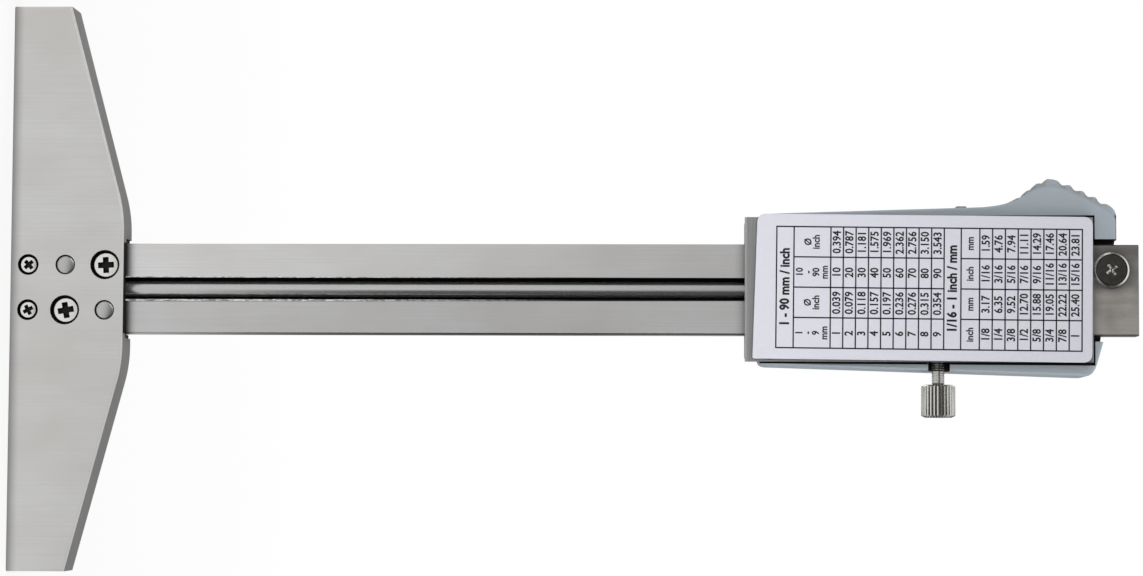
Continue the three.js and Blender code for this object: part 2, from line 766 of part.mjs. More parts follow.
function makeRod() {
  const low = rodTipLift - sliderLow;
  const spigot = spigotDiameter / 2;
  const end = rodHigh + spigotLength;
  const profile = [
    [0, low], [rodRadius - rodTipEdge, low], [rodRadius, low + rodTipEdge],
    [rodRadius, rodHigh], [spigot, rodHigh], [spigot, end], [0, end],
  ];
  return solidOf(along("z", turned(profile, rodSides)).translate(0, rodDepth, 0));
}

function makeClamp() {
  const half = grooveHalf - clampGap;
  const bore = spigotDiameter / 2 + guideRodFit;
  const tip = plateBack + clampScrewLength + blindDepth;
  const threads = clampScrewPlaces.map((z) =>
    bar("y", plateScrew.shank + screwFit, -overrun, tip, [0, 0, z], smallSides));
  return cut(
    block([-half, half], [-plateGap, grooveDepth - rodFloorGap], [clampLow, clampHigh]),
    bar("z", bore, -overrun, rodHigh + spigotLength + blindDepth, [0, rodDepth, 0], rodSides),
    ...threads,
  );
}

piece(slider, "depth_rod", makeRod(), polishedSteel);
piece(slider, "rod_clamp", makeClamp(), groundSteel);

// Back plate and label

const housingScrewLength = (boardFront + frontInner) / 2 - plateBack;

function makePlate() {
  const places = [...housingScrewPlaces.map(([, x, z]) => [x, z]), ...clampScrewPlaces.map((z) => [0, z])];
  const holes = places.map(([x, z]) => sunkHole(plateScrew, plateBack, x, z, overrun));
  return cut(block([-plateHalf, plateHalf], [plateBack, -plateGap], [0, frameLength]), ...holes);
}

function labelOutline() {
  const [wide, long] = [labelWidth / 2, labelLength / 2];
  const [left, right] = labelLowSlant;
  const rim = [
    [-wide, left - long, labelCorner], [wide, right - long, labelSharpCorner],
    [wide, long, labelCorner], [-wide, long, labelCorner],
  ];
  const outline = new THREE.Shape();
  rim.forEach(([x, z, radius], i) => {
    const [before, after] = [rim.at(i - 1), rim[(i + 1) % rim.length]];
    const at = new THREE.Vector2(x, z);
    const from = at.clone().add(new THREE.Vector2(before[0] - x, before[1] - z).setLength(radius));
    const to = at.clone().add(new THREE.Vector2(after[0] - x, after[1] - z).setLength(radius));
    if (i) outline.lineTo(from.x, from.y);
    else outline.moveTo(from.x, from.y);
    outline.quadraticCurveTo(x, z, to.x, to.y);
  });
  return outline;
}

piece(slider, "back_plate", makePlate(), groundSteel);
for (const [place, x, z] of housingScrewPlaces) {
  const screw = sunkScrew(plateScrew, housingScrewLength);
  piece(slider, `housing_screw_${place}`, screw, darkSteel, x, plateBack, z);
}
clampScrewPlaces.forEach((z, i) => {
  const name = i ? "clamp_screw_high" : "clamp_screw_low";
  piece(slider, name, sunkScrew(plateScrew, clampScrewLength), darkSteel, 0, plateBack, z);
});
const label = slabOf(labelOutline(), -labelThickness, 0);
piece(slider, "label_plate", label, labelFoil, -labelShift, plateBack, labelMiddle).rotation.y = labelSkew;

// Circuit board

function makeBoard() {
  const holes = boardScrewPlaces.map(([, x, z]) =>
    bar("y", boardScrew.shank + screwFit, -overrun, boardFront + overrun, [x, 0, z]));
  const chipZ = boardLow + chipHeightOnBoard;
  const half = chipSize / 2;
  const chip = block([-half, half], [boardBack, boardFront + chipHeight], [chipZ - half, chipZ + half]);
  const sheet = block([-boardHalf, boardHalf], [boardBack, boardFront], [boardLow, boardHigh]);
  return cut(join(sheet, chip), ...holes);
}

piece(slider, "circuit_board", makeBoard(), boardFibre);
for (const [place, x, z] of boardScrewPlaces) {
  const mesh = piece(slider, `board_screw_${place}`, panScrew(boardScrew), platedSteel, x, boardFront, z);
  mesh.rotation.x = Math.PI;
}

// Display

function makeHolder() {
  const [halfX, halfZ] = [glassWidth / 2 + screwFit, glassLength / 2 + screwFit];
  const around = (grow) => [
    [glassOffset - halfX - grow, glassOffset + halfX + grow],
    [glassZ - halfZ - grow, glassZ + halfZ + grow],
  ];
  const [outX, outZ] = around(holderWall);
  const [glassX, glassSpan] = around(0);
  const [inX, inZ] = around(-holderLedge - screwFit);
  return cut(
    block(outX, [boardFront, glassBack + glassThickness + holderRise], outZ),
    block(glassX, [glassBack, frontFace], glassSpan),
    block(inX, [0, frontFace], inZ),
  );
}

const zebraX = glassOffset + glassWidth / 2 - holderLedge - screwFit - zebraWidth / 2;
const zebraHalf = glassLength / 2 - holderLedge - screwFit;
const zebra = block(
  [zebraX - zebraWidth / 2, zebraX + zebraWidth / 2],
  [boardFront, glassBack],
  [glassZ - zebraHalf, glassZ + zebraHalf],
);
const glass = block(
  [glassOffset - glassWidth / 2, glassOffset + glassWidth / 2],
  [glassBack, glassBack + glassThickness],
  [glassZ - glassLength / 2, glassZ + glassLength / 2],
);
const windowPane = roundedRectangle(windowHalfX, windowHalfZ, housingCorner, glassOffset, glassZ);
piece(slider, "display_holder", makeHolder(), moulding);
piece(slider, "zebra_connector", zebra, rubber);
piece(slider, "display_panel", glass, displayGlass);
piece(slider, "display_window", slabOf(windowPane, frontFace - windowThickness, frontFace), clearPlastic);

// Buttons

const buttonPlaces = [["on_off", glassZ - buttonPitch], ["zero", glassZ], ["unit", glassZ + buttonPitch]];
const capBack = frontInner - slideFit - buttonFlangeThickness;

function buttonSlab(grow, back, front) {
  const [halfX, halfZ] = [buttonWidth / 2 + grow, buttonLength / 2 + grow];
  return slabOf(roundedRectangle(halfX, halfZ, halfX * buttonRoundShare), back, front);
}

function makeMat() {
  const half = buttonWidth / 2 + matBorder - postInset;
  const reach = buttonPitch + buttonLength / 2 + matBorder;
  const sheet = block([-half, half], [boardFront, boardFront + matThickness], [-reach, reach]);
  const postTop = capBack - buttonTravel - contactGap;
  const posts = buttonPlaces.map(([, z]) =>
    buttonSlab(-postInset, boardFront, postTop).translate(0, 0, z - glassZ));
  return join(sheet, ...posts);
}

piece(slider, "button_mat", makeMat(), rubber, buttonX, 0, glassZ);
for (const [name, z] of buttonPlaces) {
  const flange = buttonSlab(buttonFlange, capBack, capBack + buttonFlangeThickness);
  const cap = join(buttonSlab(0, capBack, foremost), flange);
  piece(slider, `button_${name}`, cap, buttonPlastic, buttonX, 0, z);
}

// Battery and its contacts

const contactSpan = [-contactWidth / 2, contactWidth / 2];
const springContact = join(
  block(contactSpan, [0, contactThickness], [-contactFoot, 0]),
  block(contactSpan, [0, contactRise], [-contactThickness, 0]),
  block(contactSpan, [contactRise - contactThickness, contactRise], [-contactFoot, contactFoot]),
);
const sideContactX = cellRadius + contactGap * 2;
const sideContactHigh = cellBack + cellHeight - contactThickness - boardFront;
const sideContact = join(
  block([0, contactFoot], [0, contactThickness], contactSpan),
  block([0, contactThickness], [0, sideContactHigh], [-contactWidth / 2, cellZ - boardHigh + contactWidth]),
);
const contactZ = boardHigh - contactWidth / 2 - contactThickness;
const cell = bar("y", cellRadius, cellBack, cellBack + cellHeight, [0, 0, 0]);
piece(slider, "battery", cell, polishedSteel, 0, 0, cellZ);
piece(slider, "contact_spring", springContact, platedSteel, 0, boardFront, contactZ);
piece(slider, "contact_side", sideContact, platedSteel, sideContactX, boardFront, contactZ);

// Front housing

// A stretch of a curve, from one share of its length to another, with round notches cut into it
function stretch(curve, { from, to, steps, notches = 0 }, notchSize) {
  return Array.from({ length: steps }, (_, i) => {
    const share = from + ((to - from) * i) / steps;
    const at = curve.getPointAt(share);
    const way = curve.getTangentAt(share);
    const depth = notchSize * (0.5 - 0.5 * Math.cos((2 * Math.PI * notches * i) / steps));
    return new THREE.Vector2(at.x + way.y * depth, at.y - way.x * depth);
  });
}

// The outline of the thumb rest from its foot up
function thumbRest(shares, height, reach, notchSize) {
  const low = housingHigh + endSkew - humpLength;
  const foot = sideAt(low);
  const place = ([up, out]) => new THREE.Vector2(-foot - out * height, low + up * (humpLength + reach));
  const curve = new THREE.SplineCurve([[0, 0], ...shares].map(place));
  return [...gripRuns.flatMap((run) => stretch(curve, run, notchSize)), curve.getPoint(1)];
}

// Half width of the housing's straight sides at a height above the frame's low end
function sideAt(z) {
  return sideLow + (sideSpread * (z - housingLow)) / housingLength;
}

const lockSideAt = (z) => sideAt(z) - lockSideTrim;

// Counter-clockwise seen with x to the right and z up; reach is how much further the thumb rest's end goes
function housingOutline(shares, height, reach, notchSize) {
  const path = new THREE.Path();
  const [low, high, corner] = [housingLow, housingHigh, housingCorner];
  const gapHalf = beamHalf + passGap;
  const endAt = (x) => high - (endFall * (x - gapHalf)) / (sideHigh - gapHalf);
  const cornerX = lockSideAt(high) - endCornerWidth;
  path.moveTo(-sideLow + corner, low);
  path.lineTo(lockSideAt(low) - corner, low);
  path.quadraticCurveTo(lockSideAt(low), low, lockSideAt(low + corner), low + corner);
  path.lineTo(lockSideAt(high - endCorner), high - endCorner);
  path.quadraticCurveTo(lockSideAt(high), endAt(sideHigh), cornerX, endAt(cornerX));
  path.lineTo(gapHalf, high);
  path.lineTo(-gapHalf, high + endSkew + reach);
  const rest = thumbRest(shares, height, reach, notchSize).reverse();
  const tail = new THREE.Path();
  tail.moveTo(-sideAt(low + corner), low + corner);
  tail.quadraticCurveTo(-sideLow, low, -sideLow + corner, low);
  return [...path.getPoints(cornerSteps), ...rest, ...tail.getPoints(cornerSteps).slice(0, -1)];
}

function housingShell() {
  const smooth = housingOutline(humpShares, humpHeight, 0, 0);
  const grip = housingOutline(gripShares, gripHeight, gripReach, notchDepth);
  const gripHigh = gripLow + gripStep + gripWidth;
  return skinned([
    { depth: rimDepth, points: inset(smooth, backRound) },
    { depth: rimDepth + backRound, points: smooth },
    { depth: gripLow, points: smooth },
    { depth: gripLow + gripStep, points: grip },
    { depth: gripHigh, points: grip },
    { depth: gripHigh + gripStep, points: smooth },
    { depth: frontFace - frontRound, points: smooth },
    { depth: frontFace - frontRound * roundShare, points: inset(smooth, frontRound * roundShare) },
    { depth: frontFace, points: inset(smooth, frontRound) },
  ]);
}

// The space of the battery door; what is grown by a gap is the seat that it slides in
function doorSpace(gap) {
  const low = cellZ - bayRadius - doorMargin - gap;
  const tongueBack = doorBack + (doorThickness - doorTongueThickness) * doorTongueShare;
  const span = [low, housingFar];
  return join(
    block([-doorHalf - gap, doorHalf + gap], [doorBack - gap, frontFace + overrun], span),
    block(
      [-doorHalf - doorTongue - gap, doorHalf + doorTongue + gap],
      [tongueBack - gap, tongueBack + doorTongueThickness + gap],
      span,
    ),
  );
}

// The port cover at its closed place, and its seat when it is grown by a gap and run down by its travel
const coverFace = sideAt(portHeight) - contactGap;
const coverBack = coverFace - coverThickness;

function coverSpace(gap, run) {
  const [low, high] = [portHeight - coverLength / 2 - gap - run, portHeight + coverLength / 2 + gap];
  const [half, wide] = [coverWidth / 2 + gap, coverWidth / 2 + coverTongue + gap];
  const out = gap ? coverFace + overrun : coverFace;
  const inner = gap - coverBack;
  const tongue = -coverBack - coverTongue - gap;
  return join(
    block([-out, inner], [portDepth - half, portDepth + half], [low, high]),
    block([tongue, inner], [portDepth - wide, portDepth + wide], [low, high]),
  );
}

// The opening for the back plate, wider towards the high end
function lipOutline() {
  const [low, high, end] = [plateHalf + lipGap, plateHalf + lipGapHigh, frameLength + lipGapHigh];
  const outline = new THREE.Shape();
  outline.moveTo(-low, 0);
  outline.lineTo(low, 0);
  outline.lineTo(high, end);
  outline.lineTo(-high, end);
  return outline;
}

function makeHousing(shell) {
  const frameSeat = frameHalf + slideFit;
  const past = -overrun - foremost;
  const farEnd = housingFar;
  const opening = roundedRectangle(
    glassWidth / 2 - openingInset,
    glassLength / 2 - openingInset,
    housingCorner,
    glassOffset,
    glassZ,
  );
  const seat = roundedRectangle(
    windowHalfX + windowFit,
    windowHalfZ + windowFit,
    housingCorner + windowFit,
    glassOffset,
    glassZ,
  );
  const notchReach = [cavityHalf - overrun, sideHigh + overrun];
  const screwTip = plateBack + housingScrewLength + blindDepth;
  const screwHoles = housingScrewPlaces.map(([, x, z]) =>
    bar("y", plateScrew.shank + screwFit, 0, screwTip, [x, 0, z], smallSides));
  const headRoom = boardScrewPlaces.slice(2).map(([, x, z]) =>
    bar("y", boardScrew.head + 2 * slideFit, 0, boardFront + boardScrewRoom, [x, 0, z], smallSides));
  const buttonHoles = buttonPlaces.map(([, z]) =>
    buttonSlab(slideFit, frontInner - overrun, frontFace + overrun).translate(buttonX, 0, z));
  return cut(
    shell,
    block([-frameSeat, frameSeat], [past, boardFront + slideFit], [past, frameLength + slideFit]),
    slabOf(lipOutline(), past, lipDepth),
    block([-beamHalf - passGap, beamHalf + passGap], [past, boardBack + slideFit], [0, farEnd]),
    block([-cavityHalf, cavityHalf], [boardFront, frontInner], [cavityLow, cavityHigh]),
    bar("y", bayRadius, 0, frontFace + overrun, [0, 0, cellZ]),
    block(
      [sideContactX - contactGap - slideFit, sideContactX + contactFoot + slideFit],
      [boardFront, doorBack - contactThickness],
      [contactZ - contactWidth / 2 - slideFit, cellZ + contactWidth],
    ),
    block(
      [-contactWidth / 2 - slideFit, contactWidth / 2 + slideFit],
      [boardFront, cellBack + contactGap],
      [contactZ - contactFoot - slideFit, cellZ],
    ),
    slabOf(seat, frontFace - windowThickness, frontFace + overrun),
    slabOf(opening, frontInner - overrun, frontFace + overrun),
    block(notchReach, [past, lockDepth], [lockHeight - lockNotch, lockHeight + lockNotch]),
    bar("x", lockNotch, ...notchReach, [0, lockDepth, lockHeight]),
    doorSpace(slideFit),
    coverSpace(slideFit, coverTravel),
    block(
      [-coverFace, -cavityHalf + slideFit],
      [portDepth - portWidth / 2, portDepth + portWidth / 2],
      [portHeight - portLength / 2, portHeight + portLength / 2],
    ),
    ...screwHoles,
    ...headRoom,
    ...buttonHoles,
  );
}

function makeDoor(shell) {
  const first = cellZ - (doorRidgePitch * (doorRidges - 1)) / 2;
  const ridges = Array.from({ length: doorRidges }, (_, i) => {
    const z = first + i * doorRidgePitch;
    return block([-doorHalf / 2, doorHalf / 2], [doorBack, frontFace + doorRidge], [z, z + doorRidgeWidth]);
  });
  return join(doorSpace(0).intersect(shell), ...ridges);
}

function makeCover() {
  const high = portHeight + coverLength / 2;
  const depths = [portDepth - coverWidth / 2, portDepth + coverWidth / 2];
  const nib = block([-coverFace - nibHeight, -coverBack], depths, [high - nibLength, high]);
  return join(coverSpace(0, 0), nib);
}

const shell = solidOf(housingShell());
piece(slider, "front_housing", makeHousing(shell), housingPlastic);
piece(slider, "battery_door", makeDoor(shell), coverPlastic);
piece(slider, "port_cover", makeCover(), coverPlastic);

// Lock screw, made along +Y with its tip at y = 0 and turned to lie along +X

function knurledHead(start) {
  const outline = new THREE.Shape();
  for (let i = 0; i < knurlTeeth * 2; i++) {
    const radius = i % 2 ? lockHead - knurlDepth : lockHead;
    const angle = (Math.PI * i) / knurlTeeth;
    const [x, z] = [radius * Math.cos(angle), radius * Math.sin(angle)];
    if (i) outline.lineTo(x, z);
    else outline.moveTo(x, z);
  }
  outline.closePath();
  const end = start + lockHeadLength;
  const narrow = lockHead - lockHeadEdge;
  const profile = [
    [0, start], [narrow, start], [lockHead, start + lockHeadEdge],
    [lockHead, end - lockHeadEdge], [narrow, end], [0, end],
  ];
  return solidOf(slabOf(outline, start, end)).intersect(solidOf(turned(profile, 2 * knurlTeeth)));
}

const lockReach = lockSideAt(lockHeight) + lockNeck - screwStop;
const lockStem = bar("y", lockShank, 0, lockReach + lockHeadEdge, [0, 0, 0]);
const lockScrew = join(lockStem, knurledHead(lockReach));
const lockMesh = piece(slider, "lock_screw", lockScrew, platedSteel, screwStop, lockDepth, lockHeight);
lockMesh.rotation.z = -Math.PI / 2;

export default gauge;
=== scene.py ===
"""Finished surfaces of a digital depth gauge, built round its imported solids.

The gauge stands upright on its measuring face, with its beam along +Z. The label side looks along -Y, the
display side along +Y, the thumb rest is towards -X and the lock screw towards +X. All lengths are in metres,
and sizes that are typed here are written in millimetres and turned by mm().
"""

import json
import math

import bmesh
import bpy
from mathutils import Matrix, Vector


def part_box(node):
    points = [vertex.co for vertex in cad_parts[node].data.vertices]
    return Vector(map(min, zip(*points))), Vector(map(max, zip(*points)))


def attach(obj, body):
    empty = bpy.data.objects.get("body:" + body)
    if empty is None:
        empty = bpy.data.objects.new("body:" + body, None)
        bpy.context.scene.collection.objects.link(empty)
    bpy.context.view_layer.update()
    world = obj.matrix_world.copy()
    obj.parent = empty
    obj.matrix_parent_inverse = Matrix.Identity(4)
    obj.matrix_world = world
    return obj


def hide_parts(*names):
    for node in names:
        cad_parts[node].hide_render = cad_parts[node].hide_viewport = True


bl_info = {
    "name": "Digital depth gauge",
    "version": (1, 0, 0),
    "blender": (4, 5, 0),
    "location": "3D View > Sidebar > Depth gauge",
    "description": "Builds the finished surfaces of a digital depth gauge around its packed solids",
    "category": "Add Mesh",
}

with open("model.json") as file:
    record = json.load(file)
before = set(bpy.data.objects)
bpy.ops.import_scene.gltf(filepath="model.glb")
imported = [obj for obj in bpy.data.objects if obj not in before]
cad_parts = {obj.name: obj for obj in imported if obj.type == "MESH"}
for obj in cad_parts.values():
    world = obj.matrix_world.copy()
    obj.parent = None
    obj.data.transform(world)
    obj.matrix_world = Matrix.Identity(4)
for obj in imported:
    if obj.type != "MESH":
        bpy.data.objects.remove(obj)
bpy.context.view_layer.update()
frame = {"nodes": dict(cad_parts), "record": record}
BODY_OF = {node: body for body, nodes in frame["record"]["behaviour"]["bodies"].items() for node in nodes}


def mm(value):
    """Millimetres to metres."""
    return value / 1000


def linear(code):
    """A colour written as sRGB hex, as the linear red, green and blue that a shader takes."""
    parts = [int(code[i : i + 2], 16) / 255 for i in (1, 3, 5)]
    return tuple(c / 12.92 if c <= 0.04045 else ((c + 0.055) / 1.055) ** 2.4 for c in parts)


# Colours and sizes that a user would change


def colour_property(name, description, code):
    return bpy.props.FloatVectorProperty(
        name=name, description=description, subtype="COLOR", size=3, min=0, max=1, default=linear(code)
    )


def length_property(name, description, millimetres):
    return bpy.props.FloatProperty(
        name=name, description=description, unit="LENGTH", min=0, default=mm(millimetres)
    )


class DepthGaugeColours(bpy.types.PropertyGroup):
    ground_steel: colour_property("Ground steel", "Base of the gauge", "#D3D3D2")
    beam_steel: colour_property("Beam steel", "Satin ground beam", "#DEDEDE")
    # The plate steel is painted darker than the base's to stand for the shade and dark reflection on the
    # slider
    plate_steel: colour_property("Plate steel", "Slider frame and back plate", "#B6B6B7")
    rod_steel: colour_property("Rod steel", "Polished depth rod", "#BCBCBB")
    zinc: colour_property("Zinc plate", "Screws of the base and the lock screw", "#E6E5E1")
    black_oxide: colour_property("Black oxide", "Stop screw and other blackened screws", "#383532")
    housing: colour_property("Housing plastic", "Moulded housing with the thumb rest", "#9AA3AA")
    grip: colour_property("Grip", "Notched band of the thumb rest", "#909495")
    covers: colour_property("Cover plastic", "Battery door and port cover", "#8F979E")
    buttons: colour_property("Button plastic", "Button caps", "#3C4C66")
    label: colour_property("Label", "Painted foil of the label", "#CFCFD8")
    ink: colour_property("Printing ink", "Numbers and lines", "#0F0F12")
    glass: colour_property("Display glass", "Liquid crystal display behind the window", "#9AA596")


class DepthGaugeSizes(bpy.types.PropertyGroup):
    edge: length_property("Edge", "Width of the broken edges of ground steel", 0.12)
    base_edge: length_property("Base edge", "Width of the broken edges of the base", 0.2)
    moulded_edge: length_property("Moulded edge", "Width of the rounded edges of moulded plastic", 0.22)
    table_length: length_property("Table length", "Printed table along the beam", 53.3)
    table_width: length_property("Table width", "Printed table across the beam", 21.3)
    line: length_property("Line", "Width of the table's lines", 0.24)
    print_height: length_property("Print thickness", "Thickness of printed ink", 0.012)
    knurl_pitch: length_property("Knurl pitch", "Distance between ridges round the lock screw's head", 0.62)
    thread_pitch: length_property("Thread pitch", "Pitch of the lock screw's thread", 0.4)


COLOURS = "depth_gauge_colours"
SIZES = "depth_gauge_sizes"


def colours():
    return getattr(bpy.context.scene, COLOURS)


def sizes():
    return getattr(bpy.context.scene, SIZES)


# Node trees


def add_node(tree, kind, inputs=(), **settings):
    """Adds a node with its settings. Its inputs come by name, or in a row in the order that it shows them in.
    A socket, or a node, by which its first shown output is meant, is linked, and any other value is set."""
    node = tree.nodes.new(kind)
    for name, value in settings.items():
        setattr(node, name, value)
    if not isinstance(inputs, dict):
        shown = [place for place, socket in enumerate(node.inputs) if socket.enabled]
        inputs = dict(zip(shown, inputs))
    for name, value in inputs.items():
        if isinstance(value, bpy.types.Node):
            value = next(socket for socket in value.outputs if socket.enabled)
        if isinstance(value, bpy.types.NodeSocket):
            tree.links.new(value, node.inputs[name])
        else:
            node.inputs[name].default_value = value
    return node


def new_material(name):
    """An empty material, its tree and the piece's own coordinates in metres."""
    made = bpy.data.materials.new(name)
    made.use_nodes = True
    tree = made.node_tree
    tree.nodes.clear()
    return made, tree, add_node(tree, "ShaderNodeTexCoord").outputs["Object"]


def end_surface(made, tree, colour, grain, roughness, relief=None, **more):
    """Ends a material in a surface whose gloss and relief follow its grain: roughness is its lowest and
    highest, relief the bump's strength and its depth in millimetres, and more the shader's plain numbers."""
    gloss = add_node(tree, "ShaderNodeMapRange", (grain, 0, 1, *roughness))
    skin = {"Base Color": colour, "Roughness": gloss, **more}
    if relief:
        strength, depth = relief
        skin["Normal"] = add_node(
            tree, "ShaderNodeBump", {"Height": grain, "Strength": strength, "Distance": mm(depth)}
        )
    shader = add_node(tree, "ShaderNodeBsdfPrincipled", skin)
    add_node(tree, "ShaderNodeOutputMaterial", (shader,))
    return made


def pattern(tree, place, lengths, detail, **more):
    """Noise whose features are about as long as the lengths say along each axis, in millimetres."""
    scale = [1 / mm(length) for length in lengths]
    stretched = add_node(tree, "ShaderNodeMapping", {"Vector": place, "Scale": scale})
    return add_node(
        tree, "ShaderNodeTexNoise", {"Vector": stretched, "Scale": 1.0, "Detail": detail, **more}
    )


def tinted(tree, factor, colour, darker, lighter):
    """A colour that varies round its own value: darker and lighter are the shares that multiply it."""
    ends = [[*(min(1, c * share) for c in colour), 1] for share in (darker, lighter)]
    return add_node(tree, "ShaderNodeMix", (factor, *ends), data_type="RGBA")


def grimed(tree, colour, reach, least):
    """A colour with painted shade: it darkens to its least share in corners and beside steps, as ambient
    occlusion finds them.
    """
    corner = add_node(tree, "ShaderNodeAmbientOcclusion", {"Distance": reach}, samples=8).outputs["AO"]
    share = add_node(tree, "ShaderNodeMapRange", (corner, 0.45, 0.97, least, 1))
    return add_node(tree, "ShaderNodeMix", (1, colour, share), data_type="RGBA", blend_type="MULTIPLY")


# Finishes

SHARP = (0.42, 0.58)  # the narrow part of a noise's range that makes its flecks sharp


def filmed(tree, colour, place, start):
    """A colour under a brownish film of old oil from a height on, which also stands for painted shade over
    the beam's free end beside the slider and is lighter on the lock screw's side, and darkened by a painted
    shade beside the groove, on that side and near the base."""
    across, _, height = add_node(tree, "ShaderNodeSeparateXYZ", (place,)).outputs
    # Painted shade: the lock screw's side of the beam is darkened towards black below 85 mm, fading out by
    # 125 mm
    beside = add_node(tree, "ShaderNodeMapRange", (across, 0, mm(2), 0, 0.17))
    near = add_node(tree, "ShaderNodeMapRange", (height, mm(85), mm(125), 1, 0))
    low_band_shade = add_node(tree, "ShaderNodeMath", (beside, near), operation="MULTIPLY")
    shade_band = add_node(tree, "ShaderNodeMix", (low_band_shade, colour, (0, 0, 0, 1)), data_type="RGBA")
    stains = pattern(tree, place, (5, 5, 7), 4)
    lighter_to_lock_side = add_node(tree, "ShaderNodeMapRange", (across, mm(-8), mm(8), -0.3, 0.3))
    thickness = add_node(tree, "ShaderNodeMath", (stains, lighter_to_lock_side), operation="ADD")
    share = add_node(tree, "ShaderNodeMapRange", (thickness, 0, 1, -0.6, 1.6))
    # The oil's brownish tone is partly a painted shade that darkens the beam's free end
    oil = tinted(tree, share, linear("#C6C2BC"), 0.6, 1.35)
    film = add_node(tree, "ShaderNodeMapRange", (height, start, start + mm(5), 0, 1))
    return add_node(tree, "ShaderNodeMix", (film, shade_band, oil), data_type="RGBA")


def ground_steel(name, colour, grain, roughness, streaks, coarse=0.22, film_and_shade_from=None):
    """Stainless steel off a belt grinder: fine scratches along one axis stretch its highlights across them,
    a faint brown cloudiness runs over the flat faces, and corners and steps are darkened by a painted shade."""
    made, tree, place = new_material(name)
    long_scratch = 26  # millimetres; scratches are drawn coarser across than the real 0.05, so that they show
    lengths = [long_scratch if axis == grain else coarse for axis in "xyz"]
    scratches = pattern(tree, place, lengths, 3, Roughness=0.65)
    tone = tinted(tree, scratches, colour, 0.97 - streaks, 1 + streaks)
    clouds = pattern(tree, place, (10, 10, 18), 3)
    cloudy = add_node(tree, "ShaderNodeMapRange", (clouds, 0, 1, -0.6, 1.1))
    brown = [c * share for c, share in zip(colour, (0.86, 0.82, 0.79))]
    skin = add_node(tree, "ShaderNodeMix", (cloudy, tone, (*brown, 1)), data_type="RGBA")
    if film_and_shade_from:
        skin = filmed(tree, skin, place, film_and_shade_from)
    # Painted shade: corners and steps darkened where ambient occlusion finds them
    skin = grimed(tree, skin, mm(2), 0.35)
    gloss = (roughness - 0.06, roughness + 0.08)
    return end_surface(made, tree, skin, scratches, gloss, (0.35, 0.02), Metallic=1)


def worn_edge():
    """A painted highlight along a long steel edge: bright broken flecks near the base, fading to near black
    further up.
    """
    made, tree, place = new_material("steel_edge_painted_highlight")
    flecks = pattern(tree, place, (0.4, 0.4, 0.8), 3)
    share = add_node(tree, "ShaderNodeMapRange", (flecks, *SHARP))
    bright = tinted(tree, share, linear("#EFEFEE"), 0.4, 1.4)
    height = add_node(tree, "ShaderNodeSeparateXYZ", (place,)).outputs["Z"]
    highlit_low_down = add_node(tree, "ShaderNodeMapRange", (height, mm(100), mm(55), 0, 1))
    dark = (*linear("#2C2C2B"), 1)
    skin = add_node(tree, "ShaderNodeMix", (highlit_low_down, dark, bright), data_type="RGBA")
    return end_surface(made, tree, skin, flecks, (0.35, 0.47), (0.12, 0.02))


def moulded_plastic(name, colour, roughness=0.46):
    """ABS out of a spark-eroded mould: an even satin skin with a very fine pebbled grain."""
    made, tree, place = new_material(name)
    flow = pattern(tree, place, (14, 14, 20), 2)
    pebble = pattern(tree, place, (0.28, 0.28, 0.28), 2)
    skin = tinted(tree, flow, colour, 0.93, 1.06)
    gloss = (roughness - 0.07, roughness + 0.08)
    return end_surface(made, tree, skin, pebble, gloss, (0.22, 0.03), IOR=1.53)


def painted_foil():
    """Aluminium foil label under light grey paint: flat, with the paint's faint orange peel, and paler
    towards the base."""
    made, tree, place = new_material("painted_foil_label")
    along = add_node(tree, "ShaderNodeSeparateXYZ", (place,)).outputs["Z"]
    paler_to_base = add_node(tree, "ShaderNodeMapRange", (along, mm(131), mm(190), 1, 0))
    paint = tinted(tree, paler_to_base, colours().label, 0.95, 1.17)
    peel = pattern(tree, place, (0.6, 0.6, 0.6), 3)
    shade = tinted(tree, peel, (0.97, 0.97, 0.97), 0.965, 1.03)
    skin = add_node(tree, "ShaderNodeMix", (1, paint, shade), data_type="RGBA", blend_type="MULTIPLY")
    return end_surface(made, tree, skin, peel, (0.38, 0.5), (0.12, 0.02))


def acrylic_window():
    """Cast acrylic: clear and glossy, seen by the sheen on its face."""
    made, tree, place = new_material("clear_acrylic")
    haze = pattern(tree, place, (6, 6, 6), 2)
    return end_surface(made, tree, (0.95, 0.97, 0.98, 1), haze, (0.02, 0.07), IOR=1.49, Alpha=0.18)


def flecked(
    name,
    colour,
    roughness,
    metallic=0,
    fleck=(0.4, 0.4, 0.4),
    shades=(0.85, 1.12),
    detail=3,
    relief=(0.12, 0.02),
    sharp=False,
):
    """A finish whose colour, gloss and relief follow one fleck, soft or sharp: fleck is its size in
    millimetres, and shades are the darkest and the lightest share of the colour."""
    made, tree, place = new_material(name)
    flecks = pattern(tree, place, fleck, detail)
    share = add_node(tree, "ShaderNodeMapRange", (flecks, *SHARP)) if sharp else flecks
    skin = tinted(tree, share, colour, *shades)
    return end_surface(made, tree, skin, flecks, roughness, relief, Metallic=metallic)


